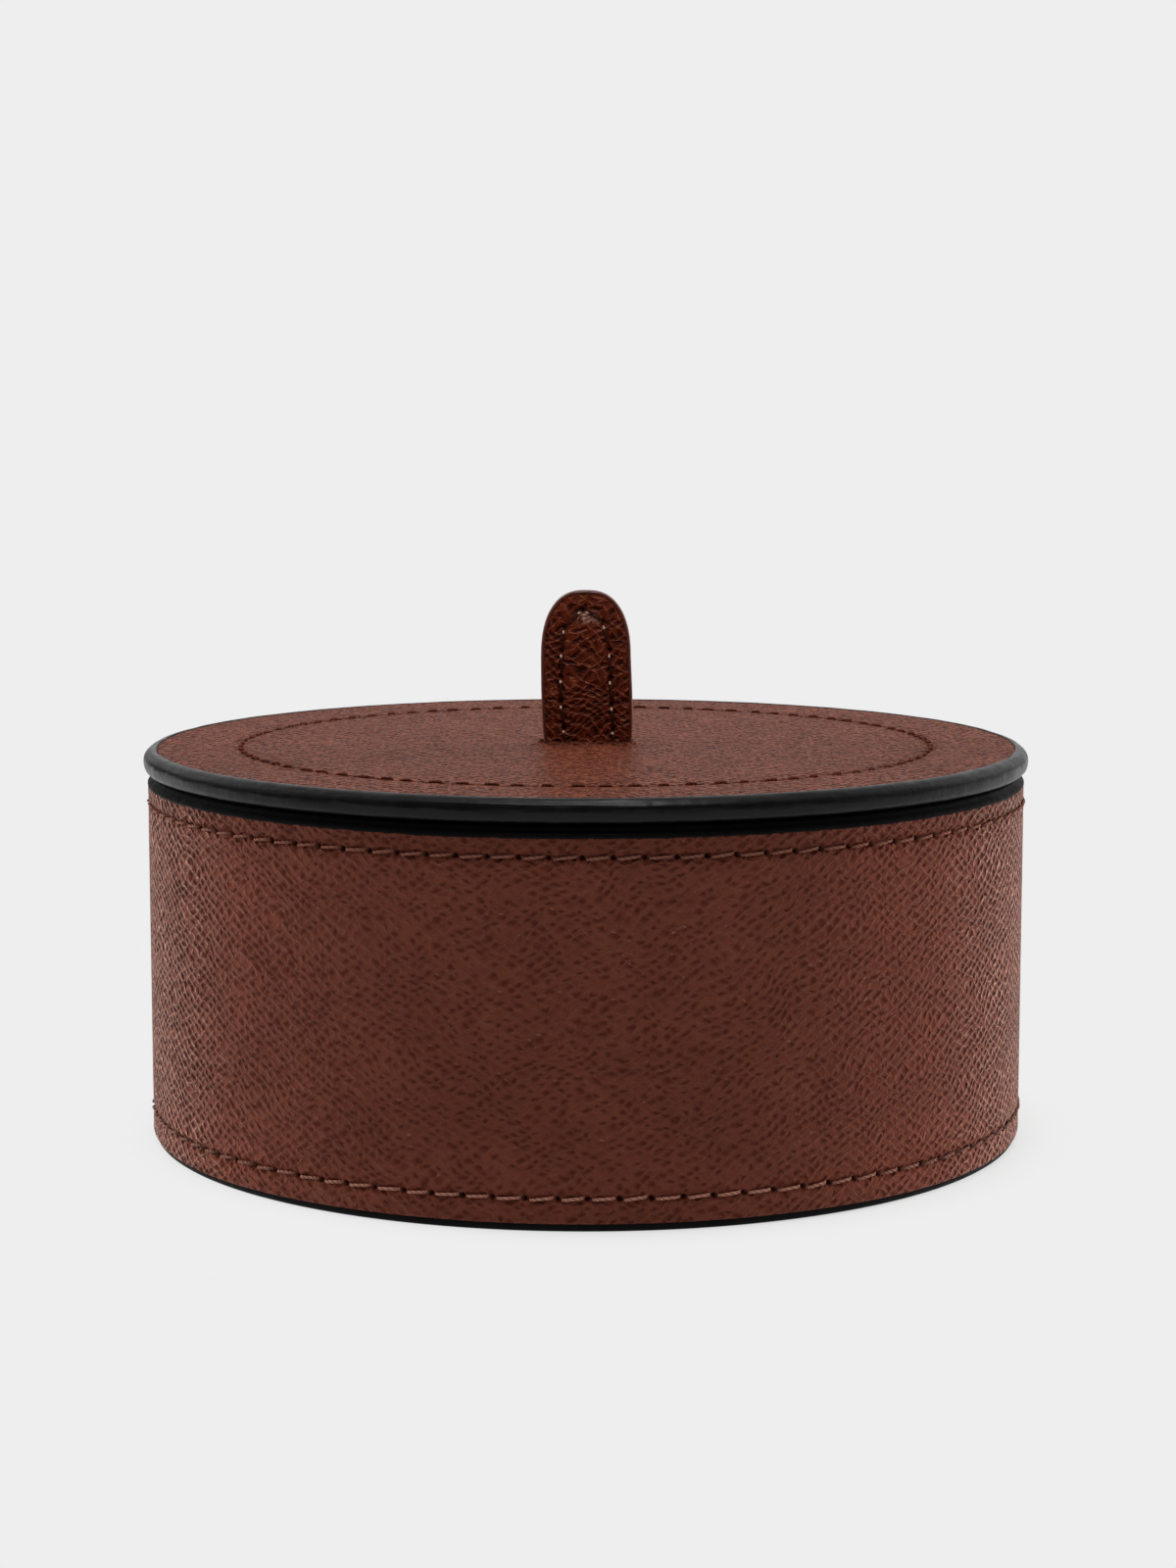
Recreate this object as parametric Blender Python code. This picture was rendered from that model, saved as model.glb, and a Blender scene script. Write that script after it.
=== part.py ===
"""Round leather trinket box: a sewn wall, a lift-off lid with a painted edge, and a leather pull tab.

Metres, +Z up. The origin is on the table under the centre of the box, and the front is -Y.
"""

import math

import bmesh
import bpy
from mathutils import Matrix, Vector

# Gap that glued or seated neighbours keep
GLUE_LINE = 0.0003

# Wall, from its leather to its lining
WALL_RADIUS = 0.0654
WALL_HEIGHT = 0.05455
WALL_LEATHER = 0.0015
WALL_BOARD = 0.0020
WALL_LINING = 0.0008
RIM_PAINT = 0.00105
WRAP_SEAM = 0.0003

# Bottom, from the table upwards
UNDERSIDE_LEATHER = 0.00125
FOOT_SET_BACK = 0.00045
FOOT_PAINT = 0.0017
FLOOR_BOARD = 0.0020
FLOOR_LINING = 0.0010

# Lid, from its top skin to its lining
LID_OVERHANG = 0.0006
LID_LEATHER = 0.0011
LID_BOARD = 0.0010
LID_LINING = 0.0006
LID_EDGE_PAINT = 0.0015
LID_LEATHER_PROUD = 0.00015

# Disc under the lid that drops into the wall
PLUG_BOARD = 0.0040
PLUG_LINING = 0.0008
PLUG_PLAY = 0.0006

# Pull tab
TAB_WIDTH = 0.0137
TAB_ROOT_WIDTH = 0.0132
TAB_HEIGHT = 0.02305
TAB_ARCH = 0.0080
TAB_LEATHER = 0.0010
TAB_CORE = 0.0004
TAB_EDGE_PAINT = 0.0006
TAB_FOOT_LENGTH = 0.0130
TAB_FOOT_LEATHER = 0.0008

# Sewing: thread, stitch length in each row, and each row's distance from its edge
THREAD = 0.00065
THREAD_SEAT = 0.0002
STITCH_RISE = 0.00015
STITCH_SLANT = 0.0001
GROOVE_WIDTH = 0.0016
GROOVE_SHARE = 0.55
TOP_ROW_STITCH = 0.0042
TOP_ROW_DROP = 0.0028
TOP_ROW_TURN = math.radians(-0.43)
BOTTOM_ROW_STITCH = 0.0043
BOTTOM_ROW_RISE = 0.0031
BOTTOM_ROW_TURN = math.radians(0.38)
LID_STITCH = 0.00395
LID_ROW_INSET = 0.0144
TAB_STITCH = 0.0040
TAB_ROW_INSET = 0.0031

# Roundings
LEATHER_ROUND = 0.0005
RIM_ROUND = 0.0004
FOOT_ROUND = 0.0010
LID_EDGE_ROUND_TOP = 0.0010
LID_EDGE_ROUND_BOTTOM = 0.0012
TAB_EDGE_ROUND = 0.0004

# Fineness of the faceted solids
TURN_SEGMENTS = 60
FILLET_STEPS = 2
TAB_SIDE_STEPS = 4
TAB_ARCH_STEPS = 12
SHARP_ANGLE = math.radians(40)

# Radii of the wall's layers
WALL_BOARD_OUTER = WALL_RADIUS - WALL_LEATHER - GLUE_LINE
WALL_BOARD_INNER = WALL_BOARD_OUTER - WALL_BOARD
WALL_LINING_OUTER = WALL_BOARD_INNER - GLUE_LINE
WALL_LINING_INNER = WALL_LINING_OUTER - WALL_LINING
RIM_RADIUS = WALL_RADIUS - GLUE_LINE

# Heights in the base, above the table
LAYERS_FOOT = UNDERSIDE_LEATHER + GLUE_LINE
LAYERS_TOP = WALL_HEIGHT - RIM_PAINT - GLUE_LINE
FLOOR_TOP = LAYERS_FOOT + FLOOR_BOARD + GLUE_LINE

# Lid sizes and heights, above the lid's own underside
LID_RADIUS = WALL_RADIUS + LID_OVERHANG
LID_SKIN_RADIUS = LID_RADIUS - LID_EDGE_PAINT - GLUE_LINE
LID_BOARD_HEIGHT = LID_LINING + GLUE_LINE
LID_LEATHER_HEIGHT = LID_BOARD_HEIGHT + LID_BOARD + GLUE_LINE
LID_TOP = LID_LEATHER_HEIGHT + LID_LEATHER
LID_ROW_RADIUS = LID_RADIUS - LID_ROW_INSET
PLUG_RADIUS = WALL_LINING_INNER - PLUG_PLAY
PLUG_BOARD_HEIGHT = -GLUE_LINE - PLUG_BOARD
PLUG_LINING_HEIGHT = PLUG_BOARD_HEIGHT - GLUE_LINE - PLUG_LINING

# Tab sizes; its bending axis stands so that its round lower end clears the lid
TAB_HALF_THICKNESS = TAB_LEATHER + TAB_CORE / 2 + GLUE_LINE
TAB_AXIS_HEIGHT = TAB_HALF_THICKNESS + GLUE_LINE
TAB_TOP = TAB_HEIGHT - TAB_AXIS_HEIGHT
TAB_LAYER_INSET = TAB_EDGE_PAINT + GLUE_LINE


def clear_scene():
    for obj in list(bpy.data.objects):
        bpy.data.objects.remove(obj, do_unlink=True)


def material(name, colour, roughness):
    """A finish with a linear colour; nothing on this box is metal."""
    finish = bpy.data.materials.new(name)
    finish.use_nodes = True
    shader = finish.node_tree.nodes["Principled BSDF"]
    shader.inputs["Base Color"].default_value = (*colour, 1.0)
    shader.inputs["Roughness"].default_value = roughness
    shader.inputs["Metallic"].default_value = 0.0
    finish.diffuse_color = (*colour, 1.0)
    return finish


def pivot(name, height, parent=None):
    """An empty on the upright axis; what hangs on it moves with it."""
    empty = bpy.data.objects.new(name, None)
    empty.location.z = height
    empty.parent = parent
    empty.empty_display_size = 0.01
    bpy.context.scene.collection.objects.link(empty)
    return empty


def add_piece(name, data, finish, parent, height=0.0):
    """Link one piece to the scene, standing at a height above its parent."""
    piece = bpy.data.objects.new(name, data)
    piece.location.z = height
    piece.parent = parent
    bpy.context.scene.collection.objects.link(piece)
    if finish is not None:
        data.materials.append(finish)
    return piece


def mesh_from(shape, name):
    """A smooth mesh with its faces out, from a closed bmesh."""
    bmesh.ops.recalc_face_normals(shape, faces=shape.faces)
    mesh = bpy.data.meshes.new(name)
    shape.to_mesh(mesh)
    shape.free()
    mesh.shade_smooth()
    mesh.set_sharp_from_angle(angle=SHARP_ANGLE)
    return mesh


def fillet(before, corner, after, size):
    """The arc that rounds one corner of a section, no wider than the sides that meet there allow."""
    to_before = before - corner
    to_after = after - corner
    half_angle = to_before.angle(to_after) / 2
    room = 0.45 * min(to_before.length, to_after.length)
    reach = min(size / math.tan(half_angle), room)
    size = reach * math.tan(half_angle)
    to_before.normalize()
    to_after.normalize()
    centre = corner + (to_before + to_after).normalized() * size / math.sin(half_angle)
    start = corner + to_before * reach - centre
    end = corner + to_after * reach - centre
    arms = [start.slerp(end, step / FILLET_STEPS) for step in range(FILLET_STEPS + 1)]
    return [centre + arm.normalized() * size for arm in arms]


def section(corners):
    """Points of a section from corners given as (radius, height) or (radius, height, rounding)."""
    points = []
    for index, corner in enumerate(corners):
        here = Vector(corner[:2])
        if len(corner) == 2:
            points.append(here)
            continue
        before = Vector(corners[index - 1][:2])
        after = Vector(corners[(index + 1) % len(corners)][:2])
        points.extend(fillet(before, here, after, corner[2]))
    return points


def turned_ring(name, corners, seam=0.0):
    """A ring turned from its section, whole or with an open seam of that width at the back."""
    points = section(corners)
    shape = bmesh.new()
    verts = [shape.verts.new((0.0, point.x, point.y)) for point in points]
    edges = [shape.edges.new((verts[i - 1], verts[i])) for i in range(len(verts))]
    seam_angle = seam / max(point.x for point in points)
    bmesh.ops.spin(
        shape,
        geom=verts + edges,
        axis=(0, 0, 1),
        angle=math.tau - seam_angle,
        steps=TURN_SEGMENTS,
        use_merge=seam == 0.0,
    )
    if seam > 0.0:
        ends = [edge for edge in shape.edges if edge.is_boundary]
        bmesh.ops.holes_fill(shape, edges=ends, sides=0)
        bmesh.ops.rotate(shape, verts=shape.verts, matrix=Matrix.Rotation(seam_angle / 2, 3, "Z"))
    return mesh_from(shape, name)


def turned_disc(name, corners):
    """A disc turned from the outline of its half section, which starts and ends on the axis."""
    foot = Vector((0.0, corners[0][1]))
    top = Vector((0.0, corners[-1][1]))
    points = section([foot, *corners, top])
    shape = bmesh.new()
    verts = [shape.verts.new((0.0, point.x, point.y)) for point in points]
    edges = [shape.edges.new(pair) for pair in zip(verts, verts[1:])]
    bmesh.ops.spin(
        shape,
        geom=verts + edges,
        axis=(0, 0, 1),
        angle=math.tau,
        steps=TURN_SEGMENTS,
        use_merge=True,
    )
    bmesh.ops.remove_doubles(shape, verts=shape.verts, dist=1e-7)
    return mesh_from(shape, name)


def plain_disc(name, radius, thickness):
    return turned_disc(name, [(radius, 0.0), (radius, thickness)])


def lofted(name, stations):
    """A solid between outlines of as many points each; a station is (y, outline in x and z)."""
    shape = bmesh.new()
    loops = []
    for y, outline in stations:
        loops.append([shape.verts.new((point.x, y, point.y)) for point in outline])
    for near, far in zip(loops, loops[1:]):
        for i in range(len(near)):
            shape.faces.new((near[i - 1], near[i], far[i], far[i - 1]))
    shape.faces.new(loops[0])
    shape.faces.new(loops[-1])
    return mesh_from(shape, name)


def box_mesh(name, size, centre):
    shape = bmesh.new()
    bmesh.ops.create_cube(shape, size=1.0)
    bmesh.ops.scale(shape, vec=size, verts=shape.verts)
    bmesh.ops.translate(shape, vec=centre, verts=shape.verts)
    return mesh_from(shape, name)


def cut(piece, mesh):
    """Cut a mesh that stands in the piece's own coordinates out of the piece."""
    cutter = add_piece(mesh.name, mesh, None, piece.parent)
    cutter.location = piece.location
    cutter.hide_render = True
    cutter.display_type = "WIRE"
    modifier = piece.modifiers.new(mesh.name, "BOOLEAN")
    modifier.operation = "DIFFERENCE"
    modifier.object = cutter


def groove_depth(leather):
    return GROOVE_SHARE * leather


def thread_lift(leather):
    """Height of the thread's centre at a hole, against the surface of the leather that it is sewn into."""
    return THREAD / 2 + THREAD_SEAT - groove_depth(leather)


def thread_points(stitches, place, closed=True):
    """Points of a thread that dips at each hole and rises between, each stitch leaning a little."""
    shape = ((0.0, 0.0, 0.0), (0.22, 1.0, -1.0), (0.78, 1.0, 1.0))
    points = []
    for stitch in range(stitches):
        for along, rise, lean in shape:
            points.append(place((stitch + along) / stitches, rise * STITCH_RISE, lean * STITCH_SLANT))
    if not closed:
        points.append(place(1.0, 0.0, 0.0))
    return points


def thread(name, points, finish, parent, closed=True):
    """One run of thread as a bevelled curve."""
    curve = bpy.data.curves.new(name, "CURVE")
    curve.dimensions = "3D"
    curve.bevel_depth = THREAD / 2
    curve.bevel_resolution = 0
    curve.use_fill_caps = not closed
    curve.twist_mode = "Z_UP" if closed else "MINIMUM"
    spline = curve.splines.new("POLY")
    spline.points.add(len(points) - 1)
    spline.use_cyclic_u = closed
    for spline_point, point in zip(spline.points, points):
        spline_point.co = (*point, 1.0)
    return add_piece(name, curve, finish, parent)


def on_circle(radius, share, turn, height):
    """A point on a circle; share 0 is at the front and the count runs to the right."""
    angle = share * math.tau + turn
    return Vector((radius * math.sin(angle), -radius * math.cos(angle), height))


def groove_in_wall(height):
    """Section points of a stitch groove in the wall, running down its outer face."""
    half = GROOVE_WIDTH / 2
    return [
        (WALL_RADIUS, height + half),
        (WALL_RADIUS - groove_depth(WALL_LEATHER), height),
        (WALL_RADIUS, height - half),
    ]


def wall_row(name, height, stitch_length, turn, finish, parent):
    stitches = round(math.tau * WALL_RADIUS / stitch_length)
    lift = thread_lift(WALL_LEATHER)

    def place(share, rise, lean):
        return on_circle(WALL_RADIUS + lift + rise, share, turn, height + lean)

    thread(name, thread_points(stitches, place), finish, parent)


def wall_leather(finish, parent):
    """The leather wrap, sewn in two rows and butted at the back."""
    height = LAYERS_TOP - LAYERS_FOOT
    inner = WALL_RADIUS - WALL_LEATHER
    corners = [
        (inner, height),
        (WALL_RADIUS, height, LEATHER_ROUND),
        *groove_in_wall(height - TOP_ROW_DROP),
        *groove_in_wall(BOTTOM_ROW_RISE),
        (WALL_RADIUS, 0.0, LEATHER_ROUND),
        (inner, 0.0),
    ]
    add_piece("wall_leather", turned_ring("wall_leather", corners, WRAP_SEAM), finish, parent, LAYERS_FOOT)


def wall_board(finish, parent):
    """The rolled board tube that stiffens the wall."""
    height = LAYERS_TOP - LAYERS_FOOT
    corners = [
        (WALL_BOARD_INNER, height),
        (WALL_BOARD_OUTER, height),
        (WALL_BOARD_OUTER, 0.0),
        (WALL_BOARD_INNER, 0.0),
    ]
    add_piece("wall_board", turned_ring("wall_board", corners), finish, parent, LAYERS_FOOT)


def wall_lining(finish, parent):
    """The soft lining, which stands on the floor board and is butted at the back."""
    height = LAYERS_TOP - FLOOR_TOP
    corners = [
        (WALL_LINING_INNER, height),
        (WALL_LINING_OUTER, height),
        (WALL_LINING_OUTER, 0.0),
        (WALL_LINING_INNER, 0.0),
    ]
    add_piece("wall_lining", turned_ring("wall_lining", corners, WRAP_SEAM), finish, parent, FLOOR_TOP)


def wall_top_edge(finish, parent):
    """The painted rim over the top of the wall's three layers."""
    corners = [
        (WALL_LINING_INNER, RIM_PAINT, RIM_ROUND),
        (RIM_RADIUS, RIM_PAINT, RIM_ROUND),
        (RIM_RADIUS, 0.0),
        (WALL_LINING_INNER, 0.0),
    ]
    height = WALL_HEIGHT - RIM_PAINT
    add_piece("wall_top_edge", turned_ring("wall_top_edge", corners), finish, parent, height)


def wall_bottom_edge(finish, parent):
    """The painted edge of the underside leather, which shows as a dark line at the foot."""
    outer = WALL_RADIUS - FOOT_SET_BACK
    corners = [
        (outer - FOOT_PAINT, UNDERSIDE_LEATHER),
        (outer, UNDERSIDE_LEATHER),
        (outer, 0.0, FOOT_ROUND),
        (outer - FOOT_PAINT, 0.0),
    ]
    add_piece("wall_bottom_edge", turned_ring("wall_bottom_edge", corners), finish, parent)


def bottom(board, lining, leather, parent):
    """The underside leather, the floor board that the wall is glued round, and the floor's lining."""
    underside_radius = WALL_RADIUS - FOOT_SET_BACK - FOOT_PAINT - GLUE_LINE
    floor_radius = WALL_BOARD_INNER - GLUE_LINE
    lining_radius = WALL_LINING_INNER - GLUE_LINE
    underside = plain_disc("underside_cover", underside_radius, UNDERSIDE_LEATHER)
    floor_board = plain_disc("floor_board", floor_radius, FLOOR_BOARD)
    floor_lining = plain_disc("floor_lining", lining_radius, FLOOR_LINING)
    add_piece("underside_cover", underside, leather, parent)
    add_piece("floor_board", floor_board, board, parent, LAYERS_FOOT)
    add_piece("floor_lining", floor_lining, lining, parent, FLOOR_TOP)


def slit(name, thickness):
    """A through cut for the tab, in the coordinates of a sheet that thick."""
    size = (TAB_ROOT_WIDTH + 2 * GLUE_LINE, 2 * (TAB_HALF_THICKNESS + GLUE_LINE), 3 * thickness)
    return box_mesh(name, size, (0.0, 0.0, thickness / 2))


def lid_leather(finish, parent):
    """The lid's top skin, with the groove of its ring of stitches and the slit for the tab."""
    half = GROOVE_WIDTH / 2
    corners = [
        (LID_SKIN_RADIUS, 0.0),
        (LID_SKIN_RADIUS, LID_LEATHER, LEATHER_ROUND),
        (LID_ROW_RADIUS + half, LID_LEATHER),
        (LID_ROW_RADIUS, LID_LEATHER - groove_depth(LID_LEATHER)),
        (LID_ROW_RADIUS - half, LID_LEATHER),
    ]
    mesh = turned_disc("lid_leather", corners)
    piece = add_piece("lid_leather", mesh, finish, parent, LID_LEATHER_HEIGHT)
    cut(piece, slit("slit_in_leather", LID_LEATHER))


def lid_layers(board, lining, parent):
    """The lid's board and the thin leather under it, both slit for the tab."""
    board_mesh = plain_disc("lid_board", LID_SKIN_RADIUS, LID_BOARD)
    lining_mesh = plain_disc("lid_lining", LID_SKIN_RADIUS, LID_LINING)
    board_piece = add_piece("lid_board", board_mesh, board, parent, LID_BOARD_HEIGHT)
    lining_piece = add_piece("lid_lining", lining_mesh, lining, parent)
    cut(board_piece, slit("slit_in_board", LID_BOARD))
    cut(lining_piece, slit("slit_in_lining", LID_LINING))


def lid_edge(finish, parent):
    """The thick painted edge round the lid's layers."""
    inner = LID_RADIUS - LID_EDGE_PAINT
    height = LID_TOP - LID_LEATHER_PROUD
    corners = [
        (inner, height),
        (LID_RADIUS, height, LID_EDGE_ROUND_TOP),
        (LID_RADIUS, 0.0, LID_EDGE_ROUND_BOTTOM),
        (inner, 0.0),
    ]
    add_piece("lid_edge", turned_ring("lid_edge", corners), finish, parent)


def lid_stitching(finish, parent):
    stitches = round(math.tau * LID_ROW_RADIUS / LID_STITCH)
    height = LID_TOP + thread_lift(LID_LEATHER)

    def place(share, rise, lean):
        return on_circle(LID_ROW_RADIUS + lean, share, 0.0, height + rise)

    thread("lid_stitching", thread_points(stitches, place), finish, parent)


def plug(board, lining, parent):
    """The disc that centres the lid in the wall, with a pocket for the tab's tails, and its lining."""
    mesh = plain_disc("plug_board", PLUG_RADIUS, PLUG_BOARD)
    piece = add_piece("plug_board", mesh, board, parent, PLUG_BOARD_HEIGHT)
    depth = TAB_FOOT_LEATHER + GLUE_LINE
    size = (TAB_ROOT_WIDTH + 2 * GLUE_LINE, TAB_FOOT_LENGTH + 2 * GLUE_LINE, 2 * depth)
    cut(piece, box_mesh("pocket_for_tails", size, (0.0, 0.0, PLUG_BOARD)))
    lining_corners = [(PLUG_RADIUS, 0.0, LEATHER_ROUND), (PLUG_RADIUS, PLUG_LINING)]
    lining_mesh = turned_disc("plug_lining", lining_corners)
    add_piece("plug_lining", lining_mesh, lining, parent, PLUG_LINING_HEIGHT)


def tab_root(finish, parent):
    """The tab's tails: up through the slit, and spread flat in the pocket under the lid."""
    half_width = TAB_ROOT_WIDTH / 2
    half_foot = TAB_FOOT_LENGTH / 2
    foot_top = -GLUE_LINE
    foot_bottom = foot_top - TAB_FOOT_LEATHER
    outline = [
        (-TAB_HALF_THICKNESS, LID_TOP),
        (TAB_HALF_THICKNESS, LID_TOP),
        (TAB_HALF_THICKNESS, foot_top),
        (half_foot, foot_top),
        (half_foot, foot_bottom),
        (-half_foot, foot_bottom),
        (-half_foot, foot_top),
        (-TAB_HALF_THICKNESS, foot_top),
    ]
    shape = bmesh.new()
    face = shape.faces.new([shape.verts.new((-half_width, y, z)) for y, z in outline])
    side = bmesh.ops.extrude_face_region(shape, geom=[face], use_keep_orig=True)
    moved = [item for item in side["geom"] if isinstance(item, bmesh.types.BMVert)]
    bmesh.ops.translate(shape, vec=(TAB_ROOT_WIDTH, 0.0, 0.0), verts=moved)
    add_piece("tab_root", mesh_from(shape, "tab_root"), finish, parent)


def tab_outline(inset, foot):
    """The tab's outline from its left foot over the arch to its right foot, in x and height above its axis."""
    spring = TAB_TOP - TAB_ARCH
    half_root = TAB_ROOT_WIDTH / 2
    bulge = (TAB_WIDTH - TAB_ROOT_WIDTH) / 2
    right = []
    for step in range(TAB_SIDE_STEPS):
        share = step / TAB_SIDE_STEPS
        half_width = half_root + bulge * math.sin(math.pi * share)
        right.append(Vector((half_width - inset, foot + (spring - foot) * share)))
    arch = []
    for step in range(TAB_ARCH_STEPS + 1):
        angle = math.pi * step / TAB_ARCH_STEPS
        x = (half_root - inset) * math.cos(angle)
        arch.append(Vector((x, spring + (TAB_ARCH - inset) * math.sin(angle))))
    left = [Vector((-point.x, point.y)) for point in reversed(right)]
    return list(reversed(right + arch + left))


def tab_foot(y):
    """Height of the tab's round lower end at a depth through its thickness."""
    return -math.sqrt(max(TAB_HALF_THICKNESS**2 - y**2, 0.0))


def tab_band(name, outer_inset, inner_inset, depths, foot):
    """A strip that follows the tab's outline between two insets, at a few depths through its thickness."""
    stations = []
    for y, shrink in depths:
        outer = tab_outline(outer_inset + shrink, foot)
        inner = tab_outline(inner_inset, foot)
        stations.append((y, outer + list(reversed(inner))))
    return lofted(name, stations)


def tab_leather(name, side, finish, parent):
    """One of the tab's two leathers, grooved for its stitches; side is -1 for the front and 1 for the back."""
    outer = side * TAB_HALF_THICKNESS
    inner = side * (TAB_HALF_THICKNESS - TAB_LEATHER)
    stations = [(y, tab_outline(TAB_LAYER_INSET, tab_foot(y))) for y in (outer, inner)]
    piece = add_piece(name, lofted(name, stations), finish, parent)
    floor = side * (TAB_HALF_THICKNESS - groove_depth(TAB_LEATHER))
    half = GROOVE_WIDTH / 2
    depths = [(side * (TAB_HALF_THICKNESS + TAB_LEATHER), 0.0), (floor, 0.0)]
    groove = tab_band(name + "_groove", TAB_ROW_INSET - half, TAB_ROW_INSET + half, depths, -TAB_AXIS_HEIGHT)
    cut(piece, groove)


def tab_core(finish, parent):
    """The thin stiffener between the tab's leathers."""
    half = TAB_CORE / 2
    stations = [(y, tab_outline(TAB_LAYER_INSET, tab_foot(half))) for y in (-half, half)]
    add_piece("tab_core", lofted("tab_core", stations), finish, parent)


def tab_edge(finish, parent):
    """The painted rim round the tab."""
    shoulder = TAB_HALF_THICKNESS - TAB_EDGE_ROUND
    depths = [
        (-TAB_HALF_THICKNESS, TAB_EDGE_ROUND),
        (-shoulder, 0.0),
        (shoulder, 0.0),
        (TAB_HALF_THICKNESS, TAB_EDGE_ROUND),
    ]
    add_piece("tab_edge", tab_band("tab_edge", 0.0, TAB_EDGE_PAINT, depths, 0.0), finish, parent)


def point_along(path, share):
    """The point at a share of a path's length, and the path's direction there."""
    lengths = [(b - a).length for a, b in zip(path, path[1:])]
    left = share * sum(lengths)
    for start, end, length in zip(path, path[1:], lengths):
        if left <= length or end is path[-1]:
            break
        left -= length
    return start.lerp(end, left / length), (end - start).normalized()


def tab_stitching(name, side, finish, parent):
    """The thread on one face of the tab, up one side, over the arch and down the other."""
    path = tab_outline(TAB_ROW_INSET, THREAD)
    length = sum((b - a).length for a, b in zip(path, path[1:]))
    face = TAB_HALF_THICKNESS + thread_lift(TAB_LEATHER)

    def place(share, rise, lean):
        point, direction = point_along(path, share)
        return Vector((point.x - lean * direction.y, side * (face + rise), point.y + lean * direction.x))

    points = thread_points(round(length / TAB_STITCH), place, closed=False)
    thread(name, points, finish, parent, closed=False)


def build():
    clear_scene()
    wall_brown = material("wall_leather", (0.090, 0.028, 0.018), 0.55)
    lid_brown = material("lid_leather", (0.140, 0.058, 0.042), 0.50)
    tab_brown = material("tab_leather", (0.062, 0.013, 0.007), 0.35)
    thread_brown = material("thread", (0.130, 0.045, 0.028), 0.60)
    black_paint = material("edge_paint", (0.010, 0.009, 0.009), 0.25)
    brown_paint = material("tab_edge_paint", (0.035, 0.010, 0.007), 0.30)
    grey_board = material("board", (0.300, 0.260, 0.210), 0.90)
    suede = material("lining", (0.120, 0.065, 0.040), 0.95)

    base = pivot("box_base", 0.0)
    wall_leather(wall_brown, base)
    wall_board(grey_board, base)
    wall_lining(suede, base)
    wall_top_edge(black_paint, base)
    wall_bottom_edge(black_paint, base)
    bottom(grey_board, suede, wall_brown, base)
    top_row = LAYERS_TOP - TOP_ROW_DROP
    bottom_row = LAYERS_FOOT + BOTTOM_ROW_RISE
    wall_row("wall_top_stitching", top_row, TOP_ROW_STITCH, TOP_ROW_TURN, thread_brown, base)
    wall_row("wall_bottom_stitching", bottom_row, BOTTOM_ROW_STITCH, BOTTOM_ROW_TURN, thread_brown, base)

    lid = pivot("lid_lift", WALL_HEIGHT + GLUE_LINE, base)
    lid_leather(lid_brown, lid)
    lid_layers(grey_board, wall_brown, lid)
    lid_edge(black_paint, lid)
    lid_stitching(thread_brown, lid)
    plug(grey_board, suede, lid)
    tab_root(tab_brown, lid)

    tab = pivot("tab_flex", LID_TOP + TAB_AXIS_HEIGHT, lid)
    tab_leather("tab_front_leather", -1, tab_brown, tab)
    tab_leather("tab_back_leather", 1, tab_brown, tab)
    tab_core(grey_board, tab)
    tab_edge(brown_paint, tab)
    tab_stitching("tab_front_stitching", -1, thread_brown, tab)
    tab_stitching("tab_back_stitching", 1, thread_brown, tab)


build()
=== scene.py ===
import math
import random

import bmesh
import bpy
import numpy as np
from mathutils import Matrix, Vector


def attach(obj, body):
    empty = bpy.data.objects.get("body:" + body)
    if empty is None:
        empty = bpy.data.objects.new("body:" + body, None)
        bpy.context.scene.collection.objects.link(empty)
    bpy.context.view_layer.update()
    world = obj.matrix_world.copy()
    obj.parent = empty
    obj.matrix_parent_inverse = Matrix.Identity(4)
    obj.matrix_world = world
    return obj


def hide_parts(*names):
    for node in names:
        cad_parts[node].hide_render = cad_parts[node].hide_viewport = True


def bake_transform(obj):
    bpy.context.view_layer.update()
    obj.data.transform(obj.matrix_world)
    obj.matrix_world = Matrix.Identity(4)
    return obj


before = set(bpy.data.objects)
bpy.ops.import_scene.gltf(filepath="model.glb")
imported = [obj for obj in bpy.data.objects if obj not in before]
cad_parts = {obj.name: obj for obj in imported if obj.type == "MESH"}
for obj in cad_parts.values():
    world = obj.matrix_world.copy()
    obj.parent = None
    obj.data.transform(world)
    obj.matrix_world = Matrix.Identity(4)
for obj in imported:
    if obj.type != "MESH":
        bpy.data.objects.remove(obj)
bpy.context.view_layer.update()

# Boards of the box
# Grey recycled board stiffens the box: a rolled tube in the wall, discs in the floor, lid and plug,
# and a thin strip in the tab. Leather and lining glued over them hide them all, so the CAD shapes stay.

MM = 0.001  # a millimetre, in metres


def link(value, socket):
    """Plugs a node's output into a socket."""
    socket.id_data.links.new(value, socket)


def new_node(tree, kind, sockets=(), **settings):
    """A new shader node, set up, with numbers or other nodes' outputs in its sockets."""
    made = tree.nodes.new("ShaderNode" + kind)
    for name, value in settings.items():
        setattr(made, name, value)
    for name, value in dict(sockets).items():
        if isinstance(value, bpy.types.NodeSocket):
            link(value, made.inputs[name])
        else:
            made.inputs[name].default_value = value
    return made


def put(kind, sockets, **settings):
    """A new node in the tree of the outputs that go into its sockets."""
    sockets = dict(sockets)
    tree = next(value.id_data for value in sockets.values() if isinstance(value, bpy.types.NodeSocket))
    return new_node(tree, kind, sockets, **settings)


def vector_maths(operation, *values):
    """The result of one sum on vectors."""
    return put("VectorMath", enumerate(values), operation=operation).outputs[0]


def scaled(vector, factor):
    """A vector times a number."""
    return put("VectorMath", {"Vector": vector, "Scale": factor}, operation="SCALE").outputs[0]


def mixed(share, low, high):
    """A colour between two, by a share from 0 to 1."""
    return put("Mix", {0: share, 6: low, 7: high}, data_type="RGBA").outputs[2]


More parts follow.
